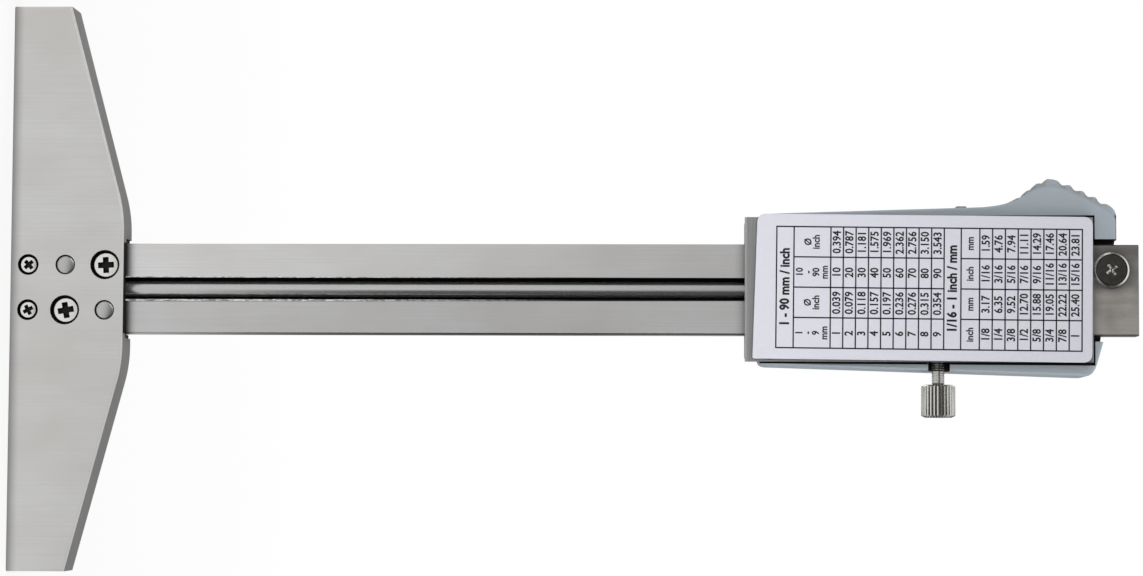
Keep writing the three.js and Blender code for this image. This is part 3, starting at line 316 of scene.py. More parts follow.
MAKERS = {
    # Ground steel: the base and beam are ground along the beam, and the slider's plate more coarsely across
    "base_steel": lambda: ground_steel("ground_base_steel", colours().ground_steel, "z", 0.34, 0.13),
    # The beam's free end carries the oil film with its painted shade, and its lower band a painted shade near
    # the base
    "beam_steel": lambda: ground_steel(
        "satin_beam_steel", colours().beam_steel, "z", 0.32, 0.14, 0.3, film_and_shade_from=mm(186)
    ),
    # The slider's plate: its darker colour is painted shade
    "plate_steel": lambda: ground_steel("ground_plate_steel", colours().plate_steel, "x", 0.36, 0.3, 0.7),
    # Centreless ground and polished rod: a long clear highlight, with faint rings across its length
    "rod_steel": lambda: flecked(
        "polished_rod_steel",
        colours().rod_steel,
        (0.2, 0.28),
        0.9,
        (30, 30, 0.5),
        (0.95, 1.03),
        detail=2,
        relief=(0.1, 0.01),
    ),
    # Bright zinc over turned steel: pale and a little warm, with small dull specks
    "zinc": lambda: flecked(
        "bright_zinc_plate",
        colours().zinc,
        (0.18, 0.34),
        1,
        (0.5, 0.5, 0.5),
        (0.88, 1.05),
        relief=(0.15, 0.02),
    ),
    # Zinc darker and flat between the knurl's ridges and in the thread: tarnish, with painted shade in those
    # hollows
    "hollow_tarnish_and_shade": lambda: flecked(
        "zinc_darkened_in_hollows", linear("#66645F"), (0.45, 0.57), 0.8, shades=(0.7, 1.2)
    ),
    # Painted shade for the groove and for the base's shoulder behind the beam: nearly black, with marks along
    # the cutter's way
    "groove_shade": lambda: flecked(
        "groove_painted_shade_steel", linear("#171717"), (0.55, 0.67), 0.8, (0.4, 0.4, 6)
    ),
    # Painted highlight for the groove's long edges, bright low down and near black higher up
    "worn_edge": worn_edge,
    # A painted highlight on the back plate's broken low edge: a narrow matt light line
    "plate_edge_highlight": lambda: flecked(
        "plate_edge_painted_highlight", linear("#A9A9A8"), (0.4, 0.52), 0.3, (0.8, 0.5, 0.5)
    ),
    # Ground dowel pins: even and soft in their shine
    "pin_steel": lambda: flecked(
        "ground_pin_steel", linear("#B9B9B7"), (0.29, 0.41), 1, (0.3, 0.3, 0.3), (0.9, 1.06)
    ),
    # Painted shade in the bores, the screws' recesses and rims and the notch round the beam: near black, with
    # no shine
    "recess_shade": lambda: flecked(
        "recess_painted_shade", linear("#0E0D0D"), (0.5, 0.62), 0.4, shades=(0.6, 1.5)
    ),
    # Blackened steel: a thin dark skin with a dull oily sheen and brown in its lows
    "black_oxide": lambda: flecked(
        "black_oxide_steel",
        colours().black_oxide,
        (0.36, 0.52),
        0.6,
        (0.7, 0.7, 0.7),
        (0.6, 1.5),
        detail=4,
        relief=(0.2, 0.03),
    ),
    # Painted glints in the stop screw's cross recess: bright broken specks in black
    "glint": lambda: flecked(
        "painted_glint_recess",
        linear("#B5B3AF"),
        (0.3, 0.42),
        0.6,
        (0.32, 0.32, 0.32),
        (0.05, 2.2),
        sharp=True,
    ),
    # Moulded ABS in its colours, and near black painted shade on the walls round the plate
    "housing": lambda: moulded_plastic("moulded_abs_housing", colours().housing),
    "grip": lambda: moulded_plastic("moulded_grip", colours().grip),
    "covers": lambda: moulded_plastic("moulded_abs_covers", colours().covers),
    "buttons": lambda: moulded_plastic("moulded_button_plastic", colours().buttons, 0.38),
    "wall_shade": lambda: flecked("black_abs_painted_shade", linear("#141416"), (0.55, 0.67)),
    "label": painted_foil,
    # Printed inks: flat colour, dull on the label and the buttons and smoother behind the window
    "ink": lambda: flecked("printing_ink", colours().ink, (0.5, 0.62)),
    "legend": lambda: flecked("white_legend_ink", linear("#E9EBEE"), (0.45, 0.57)),
    "mask": lambda: flecked("window_mask_ink", linear("#2B3038"), (0.3, 0.42)),
    "window": acrylic_window,
    # Display glass with its polariser: a smooth grey-green, and the dark segments on it
    "glass": lambda: flecked(
        "display_glass", colours().glass, (0.15, 0.27), fleck=(5, 5, 5), shades=(0.96, 1.03)
    ),
    "segments": lambda: flecked("display_segments", linear("#23282A"), (0.35, 0.47)),
    # Laminated film of the scale: a pale even grey
    "scale_film": lambda: flecked(
        "printed_scale_film", linear("#B9BDC0"), (0.3, 0.42), fleck=(3, 3, 3), shades=(0.95, 1.04)
    ),
    # Solder mask over fibreglass: green and fairly glossy, blotched by the weave under it
    "board": lambda: flecked("solder_mask", linear("#1F5A38"), (0.3, 0.42), fleck=(2, 2, 2)),
    # Rolled bronze: warm, with a fine fleck
    "bronze": lambda: flecked("bronze_strip", linear("#B08A4A"), (0.3, 0.42), 1),
    # Moulded silicone rubber: matt grey
    "rubber": lambda: flecked("silicone_rubber", linear("#54575A"), (0.65, 0.77)),
    # Black moulding of the display's holder: satin
    "moulding": lambda: flecked("black_moulding", linear("#26282A"), (0.45, 0.57)),
    # Nickel plate on the cell and its contacts: bright and even
    "nickel": lambda: flecked(
        "nickel_plate", linear("#CFCFCB"), (0.15, 0.27), 1, (4, 4, 4), (0.95, 1.04)
    ),
}
FINISHES = {}


def finish(name):
    """The material of that name, made the first time that it is asked for."""
    if name not in FINISHES:
        FINISHES[name] = MAKERS[name]()
    return FINISHES[name]


# Meshes

SMOOTH_ANGLE = math.radians(32)  # edges that turn by more stay sharp
FLAT_ANGLE = math.radians(0.6)  # faces that turn by less are joined up


def linked(name, data):
    """An object of that data, put in the scene."""
    made = bpy.data.objects.new(name, data)
    bpy.context.scene.collection.objects.link(made)
    return made


def evaluated(holder, *others):
    """The mesh that an object comes to with its modifiers. The object is removed, and the others with it."""
    graph = bpy.context.evaluated_depsgraph_get()
    mesh = bpy.data.meshes.new_from_object(holder.evaluated_get(graph))
    for item in (holder, *others):
        bpy.data.objects.remove(item)
    return mesh


def plain_mesh(made):
    """Ends a bmesh as a mesh."""
    mesh = bpy.data.meshes.new("mesh")
    made.to_mesh(mesh)
    made.free()
    return mesh


def smoothed(mesh):
    """The mesh with its edges smooth, apart from those that turn by much."""
    mesh.shade_smooth()
    mesh.set_sharp_from_angle(angle=SMOOTH_ANGLE)
    return mesh


def turned(profile, sides, matrix):
    """A turned shape about its own Z axis, from pairs of radius and height that start and end on the axis."""
    made = bmesh.new()
    for radius, height in profile:
        made.verts.new((radius, 0, height))
    made.verts.ensure_lookup_table()
    edges = [made.edges.new(pair) for pair in zip(made.verts[:-1], made.verts[1:])]
    geometry = list(made.verts) + edges
    bmesh.ops.spin(made, geom=geometry, cent=(0, 0, 0), axis=(0, 0, 1), angle=math.tau, steps=sides)
    bmesh.ops.remove_doubles(made, verts=made.verts, dist=mm(0.0005))
    bmesh.ops.recalc_face_normals(made, faces=made.faces)
    made.transform(matrix)
    return smoothed(plain_mesh(made))


def crowned(radius, base, rise, steps):
    """The rounded top of a turned shape: a profile from its radius at the base to the axis."""
    inward = [1 - i / steps for i in range(steps + 1)]
    return [(radius * share, base + rise * (1 - share**2)) for share in inward]


def evenly_lit(mesh):
    """The mesh with normals weighted by area, so that its large flat faces are lit flat up to their edges."""
    holder = linked("holder", mesh)
    weighted = holder.modifiers.new("weighted", "WEIGHTED_NORMAL")
    weighted.mode = "FACE_AREA_WITH_ANGLE"
    weighted.weight = 100
    weighted.keep_sharp = True
    return evaluated(holder)


def joined(meshes):
    """Several meshes as one, with their material slots kept apart."""
    made = bmesh.new()
    for mesh in meshes:
        made.from_mesh(mesh)
        bpy.data.meshes.remove(mesh)
    return plain_mesh(made)


def carved(mesh, cutter):
    """A mesh with another cut out of it."""
    holder, tool = linked("holder", mesh), linked("tool", cutter)
    cut = holder.modifiers.new("cut", "BOOLEAN")
    cut.operation = "DIFFERENCE"
    cut.solver = "EXACT"
    cut.use_self = True
    cut.object = tool
    return smoothed(evaluated(holder, tool))


def clean_copy(node):
    """A bmesh of a CAD node with its doubles merged and its flat faces joined up."""
    made = bmesh.new()
    made.from_mesh(frame["nodes"][node].data)
    bmesh.ops.remove_doubles(made, verts=made.verts, dist=mm(0.002))
    bmesh.ops.dissolve_limit(made, angle_limit=FLAT_ANGLE, verts=made.verts, edges=made.edges)
    return made


def break_edges(made, edges, width, segments=1, **more):
    """Breaks edges with one flat face, or rounds them with more."""
    bmesh.ops.bevel(
        made, geom=edges, offset=width, segments=segments, profile=0.5, affect="EDGES", **more
    )


def add_piece(name, mesh, body, material, stands_for=(), inner=()):
    """A finished piece: its object at the origin, riding on a body of the gauge. Its faces keep the number of
    their finish: 0 is the material, and the inner ones follow."""
    made = linked(name, mesh)
    mesh.name = name
    kinds = [face.material_index for face in mesh.polygons]
    mesh.materials.clear()
    for kind in (material, *inner):
        mesh.materials.append(kind)
    if inner:
        for face, kind in zip(mesh.polygons, kinds):
            face.material_index = kind
    if stands_for:
        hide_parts(*stands_for)
    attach(made, body)


def stand_in(node, mesh, material, inner=()):
    """Stands a mesh in a CAD node's place, with the node's body, and with finishes by their names."""
    others = [finish(name) for name in inner]
    add_piece(node + "_finished", mesh, BODY_OF[node], finish(material), [node], others)


def finish_node(node, material, width, segments=2, angle=28, inner=(), kind_of=None, before=None):
    """Stands a copy in a CAD node's place, with each edge rounded that turns by more than the angle, in
    degrees. kind_of gives the number of a face's finish, and before eases some edges more than the rest."""
    made = clean_copy(node)
    if before:
        before(made)
    sharp = [e for e in made.edges if e.is_manifold and e.calc_face_angle() > math.radians(angle)]
    break_edges(made, sharp, width, segments, clamp_overlap=True)
    made.normal_update()
    for face in made.faces:
        face.material_index = kind_of(face) if kind_of else 0
    stand_in(node, evenly_lit(smoothed(plain_mesh(made))), material, inner)


def lettering(words, height, matrix, bold, squeeze=1.0):
    """Words as a thin mesh, centred on the matrix's origin, reading along its X, their tops towards its Y."""
    curve = bpy.data.curves.new("lettering", "FONT")
    curve.body = words
    cap_share = 0.7  # of the font's size, for a capital or a digit
    curve.size = height / cap_share
    curve.align_x = "CENTER"
    curve.align_y = "CENTER"
    curve.resolution_u = 2
    curve.offset = bold
    curve.extrude = sizes().print_height
    mesh = evaluated(linked("lettering", curve))
    bpy.data.curves.remove(curve)
    mesh.transform(matrix @ Matrix.Diagonal((squeeze, 1, 1, 1)))
    return mesh


def bar_mesh(low, high, matrix):
    """A thin bar between two corners, in the matrix's own directions."""
    made = bmesh.new()
    bmesh.ops.create_cube(made, size=1)
    size = [b - a for a, b in zip(low, high)]
    middle = [(a + b) / 2 for a, b in zip(low, high)]
    made.transform(matrix @ Matrix.Translation(middle) @ Matrix.Diagonal((*size, 1)))
    bmesh.ops.recalc_face_normals(made, faces=made.faces)
    return plain_mesh(made)


def rounded_frame(across, along, wide, radius, depth, thickness):
    """A thin printed frame with round corners, flat on the plane at a depth, that looks along +Y."""
    steps, rings = 6, []
    for inset, corner in ((0, radius), (wide, radius - wide / 2)):
        x0, z0 = across[0] + inset + corner, along[0] + inset + corner
        x1, z1 = across[1] - inset - corner, along[1] - inset - corner
        ring = []
        for quarter, (x, z) in enumerate(((x1, z1), (x0, z1), (x0, z0), (x1, z0))):
            for i in range(steps + 1):
                angle = math.pi / 2 * (quarter + i / steps)
                ring.append((x + corner * math.cos(angle), z + corner * math.sin(angle)))
        rings.append(ring)
    made = bmesh.new()
    outer_low, inner_low, outer_high, inner_high = [
        [made.verts.new((x, y, z)) for x, z in ring] for y in (depth, depth + thickness) for ring in rings
    ]
    top, bottom = (inner_high, outer_high), (outer_low, inner_low)
    outside, inside = (outer_high, outer_low), (inner_low, inner_high)
    for a, b in (bottom, top, outside, inside):
        for i in range(len(a)):
            j = (i + 1) % len(a)
            made.faces.new((a[i], a[j], b[j], b[i]))
    bmesh.ops.recalc_face_normals(made, faces=made.faces)
    return smoothed(plain_mesh(made))


def facing(place, right, up):
    """A matrix at a place whose X points right and whose Y points up for someone who reads the face."""
    x, y = Vector(right), Vector(up)
    turn = Matrix((x, y, x.cross(y))).transposed().to_4x4()
    return Matrix.Translation(place) @ turn


def outward(place, turn=0.0):
    """A matrix that stands a head made along Z on the gauge's back, turned about its own axis."""
    return Matrix.Translation(place) @ Matrix.Rotation(math.pi / 2, 4, "X") @ Matrix.Rotation(turn, 4, "Z")


# Geometry node trees


def new_tree(name, sockets):
    """A geometry node tree with named inputs, and its input node's outputs."""
    tree = bpy.data.node_groups.new(name, "GeometryNodeTree")
    for label, kind in sockets.items():
        tree.interface.new_socket(label, in_out="INPUT", socket_type="NodeSocket" + kind)
    tree.interface.new_socket("Geometry", in_out="OUTPUT", socket_type="NodeSocketGeometry")
    return tree, add_node(tree, "NodeGroupInput").outputs


def end_tree(tree, points, shape, given, **turn_or_size):
    """Ends a tree in real copies of a shape on its points, in the given material."""
    inputs = {"Points": points, "Instance": shape, **turn_or_size}
    copies = add_node(tree, "GeometryNodeInstanceOnPoints", inputs)
    real = add_node(tree, "GeometryNodeRealizeInstances", (copies,))
    painted = add_node(tree, "GeometryNodeSetMaterial", {"Geometry": real, "Material": given["Material"]})
    add_node(tree, "NodeGroupOutput", {"Geometry": painted})
    return tree


def run_tree(tree, values, source=None):
    """Runs a tree on a mesh, or on none, with values for its named inputs, and returns what it makes."""
    holder = linked("holder", source or bpy.data.meshes.new("empty"))
    modifier = holder.modifiers.new("tree", "NODES")
    modifier.node_group = tree
    names = {item.name: item.identifier for item in tree.interface.items_tree if item.in_out == "INPUT"}
    for name, value in values.items():
        modifier[names[name]] = value
    return evaluated(holder)


def ring_tree():
    """Copies a shape round an axis along X, evenly spaced."""
    sockets = {"Geometry": "Geometry", "Count": "Int", "Centre": "Vector", "Material": "Material"}
    tree, given = new_tree("Ridges round an axis", sockets)
    spots = add_node(tree, "GeometryNodeMeshLine", (given["Count"], given["Centre"], (0, 0, 0)))
    index = add_node(tree, "GeometryNodeInputIndex")
    step = add_node(tree, "ShaderNodeMath", (math.tau, given["Count"]), operation="DIVIDE")
    angle = add_node(tree, "ShaderNodeMath", (index, step), operation="MULTIPLY")
    turn = add_node(tree, "ShaderNodeCombineXYZ", {"X": angle})
    return end_tree(tree, spots, given["Geometry"], given, Rotation=turn)


def tick_tree():
    """A row of scale lines along Z, whose length follows their place in each five and ten."""
    lengths = dict.fromkeys(("Pitch", "Width", "Thickness", "Short", "Middle", "Long"), "Float")
    sockets = {"Count": "Int", **lengths, "Start": "Vector", "Material": "Material"}
    tree, given = new_tree("Scale lines", sockets)
    offset = add_node(tree, "ShaderNodeCombineXYZ", {"Z": given["Pitch"]})
    spots = add_node(tree, "GeometryNodeMeshLine", (given["Count"], given["Start"], offset))
    index = add_node(tree, "GeometryNodeInputIndex")
    reach = given["Short"]
    for number, longer in ((5, "Middle"), (10, "Long")):
        rest = add_node(tree, "ShaderNodeMath", (index, number), operation="MODULO")
        on_it = add_node(tree, "ShaderNodeMath", (rest, 0.5), operation="LESS_THAN")
        reach = add_node(tree, "GeometryNodeSwitch", (on_it, reach, given[longer]), input_type="FLOAT")
    size = add_node(tree, "ShaderNodeCombineXYZ", (reach, given["Thickness"], given["Width"]))
    line = add_node(tree, "GeometryNodeMeshCube", {"Size": (1, 1, 1)})
    from_its_end = add_node(tree, "GeometryNodeTransform", {"Geometry": line, "Translation": (0.5, 0, 0)})
    return end_tree(tree, spots, from_its_end, given, Scale=size)


# Pieces

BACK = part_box("beam")[0].y  # the beam's back face


def span(node):
    """A node's lowest and highest corners at rest, and the middle between them."""
    low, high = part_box(node)
    return low, high, (low + high) / 2


class SteelParts(bpy.types.Operator):
    """Builds the ground steel: base, rod guide, beam, slider frame and back plate"""

    bl_idname = "depth_gauge.steel_parts"
    bl_label = "Steel parts"

    def execute(self, context):
        edge, base_edge, sliver = sizes().edge, sizes().base_edge, mm(0.05)
        self.base(base_edge, sliver)
        finish_node("rod_guide", "base_steel", edge / 2)
        self.beam(edge, sliver)
        finish_node("slider_frame", "plate_steel", edge / 2)
        self.back_plate(edge, sliver)
        finish_node("rod_clamp", "plate_steel", edge / 2)
        return {"FINISHED"}

    def base(self, edge, sliver):
        """The base, with painted shade in its bores, on the notch's rim and on the shoulder beside the beam's
        back.
        """
        base_low, base_high, _ = span("base_block")
        shoulder, half_beam, half_notch, bore_reach = base_high.z, mm(8.05), mm(8.9), mm(3)
        screws = [f"{kind}_screw_{side}" for kind in ("guide", "base") for side in ("left", "right")]
        bores = [span(node)[2].xz for node in screws + ["dowel_pin_left", "dowel_pin_right"]]

        def kind_of(face):
            """1 is painted shade in a bore or on the notch's rim, and 2 painted shade on the shoulder beside
            the beam's back.
            """
            at = face.calc_center_median()
            below = shoulder - at.z
            if at.y < base_low.y + edge * 0.8:
                return 0
            if face.normal.z > 0.9 and abs(at.x) < half_beam and below < sliver and at.y < BACK:
                return 2
            if sliver < below < mm(0.5) and at.y > BACK - mm(0.6) and abs(at.x) < half_notch:
                return 1
            return int(min((at.xz - bore).length for bore in bores) < bore_reach and at.y < BACK)

        def part_shoulder(made):
            """Parts the shoulder beside the beam, so that the stretch over it can take the painted shade."""
            for side in (-1, 1):
                parts = made.verts[:] + made.edges[:] + made.faces[:]
                place = (side * half_beam, 0, 0)
                bmesh.ops.bisect_plane(made, geom=parts, plane_co=place, plane_no=(1, 0, 0))

        inner = ["recess_shade", "groove_shade"]
        finish_node(
            "base_block", "base_steel", edge, angle=35, inner=inner, kind_of=kind_of, before=part_shoulder
        )

    def beam(self, edge, sliver):
        """The beam, with its groove painted near black for shade, and its long edges broken and given a
        painted highlight.
        """
        rod_low, rod_high, _ = span("depth_rod")
        beside_rod, long_edge = mm(0.9), mm(60)

        def ease_groove(made):
            """Breaks the groove's long edges. The lock screw's side is more worn and leans inwards."""
            for low, high, lean, worn in ((1, 5, 0.2, 0.5), (-5, -1, 0, 0.15)):
                edges = [
                    e
                    for e in made.edges
                    if e.is_manifold
                    and e.calc_length() > long_edge
                    and all(abs(v.co.y - BACK) < sliver and mm(low) < v.co.x < mm(high) for v in e.verts)
                ]
                for vertex in {v for e in edges for v in e.verts}:
                    vertex.co.x -= mm(lean)
                break_edges(made, edges, mm(worn))

        def kind_of(face):
            """1 is the groove's steel, painted near black for shade, and 2 its long edges, with a painted
            highlight.
            """
            at, normal = face.calc_center_median(), face.normal
            if not rod_low.x - beside_rod < at.x < rod_high.x + beside_rod or abs(normal.z) > 0.5:
                return 0
            if -0.95 < normal.y < -0.4 and at.y < BACK + mm(0.3):
                return 2
            return int(at.y > BACK + edge * 0.7 and normal.y < 0.5)

        inner = ["groove_shade", "worn_edge"]
        finish_node("beam", "beam_steel", edge / 2, inner=inner, kind_of=kind_of, before=ease_groove)

    def back_plate(self, edge, sliver):
        """The slider's back plate, whose low end was broken more than its sides."""
        plate_low, _, _ = span("back_plate")
        end_edge = mm(0.3)

        def ease_end(made):
            edges = [e for e in made.edges if all((v.co - plate_low).yz.length < sliver for v in e.verts)]
            break_edges(made, edges, end_edge)

        def kind_of(face):
            # 1 is the broken low edge, which carries a painted highlight
            return int(face.normal.z < -0.5 and -0.9 < face.normal.y < -0.5)

        inner = ["plate_edge_highlight"]
        finish_node("back_plate", "plate_steel", edge / 2, inner=inner, kind_of=kind_of, before=ease_end)


class DepthRod(bpy.types.Operator):
    """Builds the polished depth rod"""

    bl_idname = "depth_gauge.depth_rod"
    bl_label = "Depth rod"

    def execute(self, context):
        low, high, middle = span("depth_rod")
        radius, round_edge, spigot, spigot_length = (high.x - low.x) / 2, mm(0.3), mm(1.1), mm(8)
        shoulder, steps = high.z - spigot_length, 5
        tip = [
            (radius - round_edge * (1 - math.sin(a)), low.z + round_edge * (1 - math.cos(a)))
            for a in (math.pi / 2 * i / steps for i in range(steps + 1))
        ]
        profile = [(0, low.z), *tip, (radius, shoulder), (spigot, shoulder), (spigot, high.z), (0, high.z)]
        stand_in("depth_rod", turned(profile, 72, Matrix.Translation((middle.x, middle.y, 0))), "rod_steel")
        return {"FINISHED"}


def cross_head(radius, height, dome, arm, reach, depth, edge, shade_band=0.0):
    """A screw's domed head on the plane z = 0, with a tapered cross recess. The recess has finish 1, and so
    has an outer band of the rim as wide as the last argument, where the base's screws get painted shade."""
    profile = [(0, 0), (radius, 0), (radius, height - edge), *crowned(radius - edge, height, dome, 6)]
    head = turned(profile, 48, Matrix.Identity(4))
    taper = 0.55  # the cutter's foot as a share of its top
    sunk, top = 0.3, height + dome
    tools = []
    for turn in (0, math.pi / 2):
        tool = bmesh.new()
        bmesh.ops.create_cube(tool, size=1)
        for v in tool.verts:
            narrow = taper if v.co.z < 0 else 1
            up = (v.co.z - sunk) * depth / (0.5 + sunk)
            v.co = Vector((v.co.x * reach * narrow, v.co.y * arm * (narrow + 1) / 2, top + up))
        tool.transform(Matrix.Rotation(turn, 4, "Z"))
        tools.append(plain_mesh(tool))
    made = carved(head, joined(tools))
    for face in made.polygons:
        out, at = face.center.xy.length, face.center.z
        in_recess = mm(0.01) < at < height - mm(0.03) and out < reach / 2 + mm(0.05)
        face.material_index = int(in_recess or shade_band > 0 and out > radius - shade_band)
    return made


def stem(radius, length, place):
    """A screw's shank below the plane of its head."""
    return turned([(0, -length), (radius, -length), (radius, 0), (0, 0)], 24, outward(place))


class BaseFasteners(bpy.types.Operator):
    """Builds the screws and dowel pins of the base"""

    bl_idname = "depth_gauge.base_fasteners"
    bl_label = "Base fasteners"

    def execute(self, context):
        # The head's height, the cross's arm and reach, the width of the rim and the shank's radius
        large, small = (0.9, 1.1, 3.2, 0.14, 1.4), (1, 0.72, 2.1, 0.2, 0.95)
        depth, dome = mm(0.75), mm(0.1)
        screws = {  # each one's size, and the degrees that it was left turned by
            "guide_screw_left": (small, 42),
            "guide_screw_right": (small, 28),
            "base_screw_left": (large, 3),
            "base_screw_right": (large, 10),
        }
        for node, (measures, degrees) in screws.items():
            low, high, seat = span(node)
            height, arm, reach, rim, shank = [mm(measure) for measure in measures]
            seat.y = low.y + height
            # The rim's width is also the outer band of the head that gets painted shade, with the recess
            mesh = cross_head((high.x - low.x) / 2, height - dome, dome, arm, reach, depth, rim, rim)
            mesh.transform(outward(seat, math.radians(degrees)))
            stand_in(node, joined([mesh, stem(shank, high.y - seat.y, seat)]), "zinc", ["recess_shade"])
        crown, edge = mm(0.2), mm(0.12)
        for node in ("dowel_pin_left", "dowel_pin_right"):
            low, high, seat = span(node)
            seat.y = low.y
            radius, length = (high.x - low.x) / 2, high.y - low.y
            profile = [(0, -length), (radius, -length), (radius, -edge - crown)]
            profile += crowned(radius - edge, -crown, crown, 5)
            stand_in(node, turned(profile, 40, outward(seat)), "pin_steel")
        return {"FINISHED"}


class StopScrew(bpy.types.Operator):
    """Builds the blackened stop screw with its bright rim"""

    bl_idname = "depth_gauge.stop_screw"
    bl_label = "Stop screw"

    def execute(self, context):
        low, high, seat = span("stop_screw")
        seat.y = BACK
        radius, height, rim, left_at = (high.x - low.x) / 2, BACK - low.y, mm(0.33), math.radians(35)
        dome, arm, reach, depth, edge = mm(0.05), mm(0.5), mm(2.4), mm(0.5), mm(0.2)
        face = cross_head(radius - rim, height, dome, arm, reach, depth, edge)
        face.transform(outward(seat, left_at))
        mesh = joined([face, stem(mm(1.4), high.y - BACK, seat)])
        # The cross recess takes the painted glints
        stand_in("stop_screw", mesh, "black_oxide", ["glint"])
        lift = mm(0.02)
        inner_edge = (radius - rim + lift / 2, height - lift)
        flat = [(radius - rim, height), (radius, height - rim), (radius, lift), (radius - rim, lift)]
        mesh = turned([inner_edge, *flat, inner_edge], 64, outward(seat))
        add_piece("stop_screw_rim", mesh, BODY_OF["stop_screw"], finish("zinc"))
        return {"FINISHED"}


class LabelPlate(bpy.types.Operator):
    """Builds the label and its printed table of millimetres and inches"""

    bl_idname = "depth_gauge.label_plate"
    bl_label = "Label"

    def execute(self, context):
        finish_node("label_plate", "label", mm(0.1), angle=40)
        low, _, middle = span("label_plate")
        middle.y = low.y
        skew = math.radians(0.55)  # the label was stuck on slightly askew
        askew = Matrix.Translation(middle) @ Matrix.Rotation(skew, 4, "Y") @ Matrix.Translation(-middle)
        length, width, half = sizes().table_length, sizes().table_width, sizes().line / 2
        ink, inch = sizes().print_height, 25.4
        off_middle = Vector((mm(0.13), 0, mm(1.12)))
        start = middle + off_middle - Vector((width / 2, 0, length / 2))
        rows = 4
        row_width = width / rows
        # Two tables along the beam, each a title, its headings and its numbers
        columns = [3.03, 6.45] + [2.2] * 9 + [2.96, 3.24] + [2.23] * 8
        first, second, end = 0, 11, len(columns)
        unit = length / sum(columns)
        stops = [0.0]
        for share in columns:
            stops.append(stops[-1] + share * unit)
        parts = []

        def rule(x0, x1, z0, z1):
            corners = [start + Vector(corner) for corner in ((x0 - half, -ink, z0), (x1 + half, 0, z1))]
            parts.append(bar_mesh(*corners, askew))

        for stop in stops:
            rule(0, width, stop - half, stop + half)
        for k in range(rows + 1):
            for title, last in ((first, second), (second, end)):
                beyond = title if k in (0, rows) else title + 1
                rule(k * row_width, k * row_width, stops[beyond], stops[last])

        def write(words, column, row, height, bold=mm(0.05), shift=0.0):
            across = width / 2 if row is None else (rows - row - 0.5) * row_width
            along = (stops[column] + stops[column + 1]) / 2 + shift
            place = start + Vector((across, 0, along))
            parts.append(lettering(words, height, askew @ facing(place, (-1, 0, 0), (0, 0, -1)), bold, 0.9))

        number, heading, title, title_bold, spacing = mm(1.4), mm(1.2), mm(1.6), mm(0.09), mm(1.45)
        write("1 - 90 mm / inch", first, None, title, title_bold)
        write("1/16 - 1 inch / mm", second, None, title, title_bold)
        headings = (("1", "-", "9", "mm"), ("Ø", "inch"), ("10", "-", "90", "mm"), ("Ø", "inch"))
        for row, lines in enumerate(headings):
            for i, words in enumerate(lines):
                write(words, first + 1, row, heading, shift=spacing * (i - (len(lines) - 1) / 2))
        for row, words in enumerate(("inch", "mm", "inch", "mm")):
            write(words, second + 1, row, heading)
        for i in range(9):
            small, large = i + 1, 10 * (i + 1)
            cells = (f"{small}", f"{small / inch:.3f}", f"{large}", f"{large / inch:.3f}")
            for row, words in enumerate(cells):
                write(words, first + 2 + i, row, number)
        for i, eighths in enumerate(("1/8", "1/4", "3/8", "1/2", "5/8", "3/4", "7/8", "1")):
            odd = 2 * i + 1
            cells = (eighths, f"{inch * (i + 1) / 8:.2f}", f"{odd}/16", f"{inch * odd / 16:.2f}")
            for row, words in enumerate(cells):
                write(words, second + 2 + i, row, number)
        add_piece("label_print", joined(parts), "slider", finish("ink"))
        return {"FINISHED"}


class Housing(bpy.types.Operator):
    """Builds the moulded housing with its thumb rest, its battery door and its port cover"""

    bl_idname = "depth_gauge.housing"
    bl_label = "Housing"

    def execute(self, context):
        edge = sizes().moulded_edge
        side, half_opening, high_end = mm(15.3), mm(13.5), mm(160)
        grip_back, grip_front = BACK + mm(2.2), BACK + mm(10)
        rim, floor = BACK + mm(0.35), BACK + mm(6)

        def kind_of(face):
            """1 is the thumb rest's band, and 2 the walls round the plate and the beam, painted near black
            for shade.
            """
            at, normal = face.calc_center_median(), face.normal
            if at.x < -side and grip_back < at.y < grip_front and abs(normal.y) < 0.9:
                return 1
            at_high_end = normal.z < -0.6 and at.z > high_end
            on_step = normal.y < -0.6 and at.y > BACK + mm(1)
            inward = normal.x * at.x < -mm(2) or at_high_end or on_step
            return 2 * int(inward and abs(at.x) < half_opening and rim < at.y < floor)

        inner = ["grip", "wall_shade"]
        finish_node("front_housing", "housing", edge, segments=3, angle=38, inner=inner, kind_of=kind_of)
        finish_node("battery_door", "covers", edge / 2)
        finish_node("port_cover", "covers", edge / 2)
        return {"FINISHED"}


def segment(start, end, stroke, face):
    """One bar of a digit, with pointed ends, on a face."""
    a, b = Vector((*start, 0)), Vector((*end, 0))
    along = (b - a).normalized()
    side = Vector((-along.y, along.x, 0)) * stroke / 2
    nip, gap, lift = along * stroke / 2, along * mm(0.1), Vector((0, 0, mm(0.02)))
    points = [a + gap, a + nip + side, b - nip + side, b - gap, b - nip - side, a + nip - side]
    made = bmesh.new()
    made.faces.new([made.verts.new(p) for p in points])
    lifted = bmesh.ops.extrude_face_region(made, geom=made.faces[:])["geom"]
    corners = [item for item in lifted if isinstance(item, bmesh.types.BMVert)]
    bmesh.ops.translate(made, verts=corners, vec=lift)
    bmesh.ops.recalc_face_normals(made, faces=made.faces)
    made.transform(face)
    return plain_mesh(made)


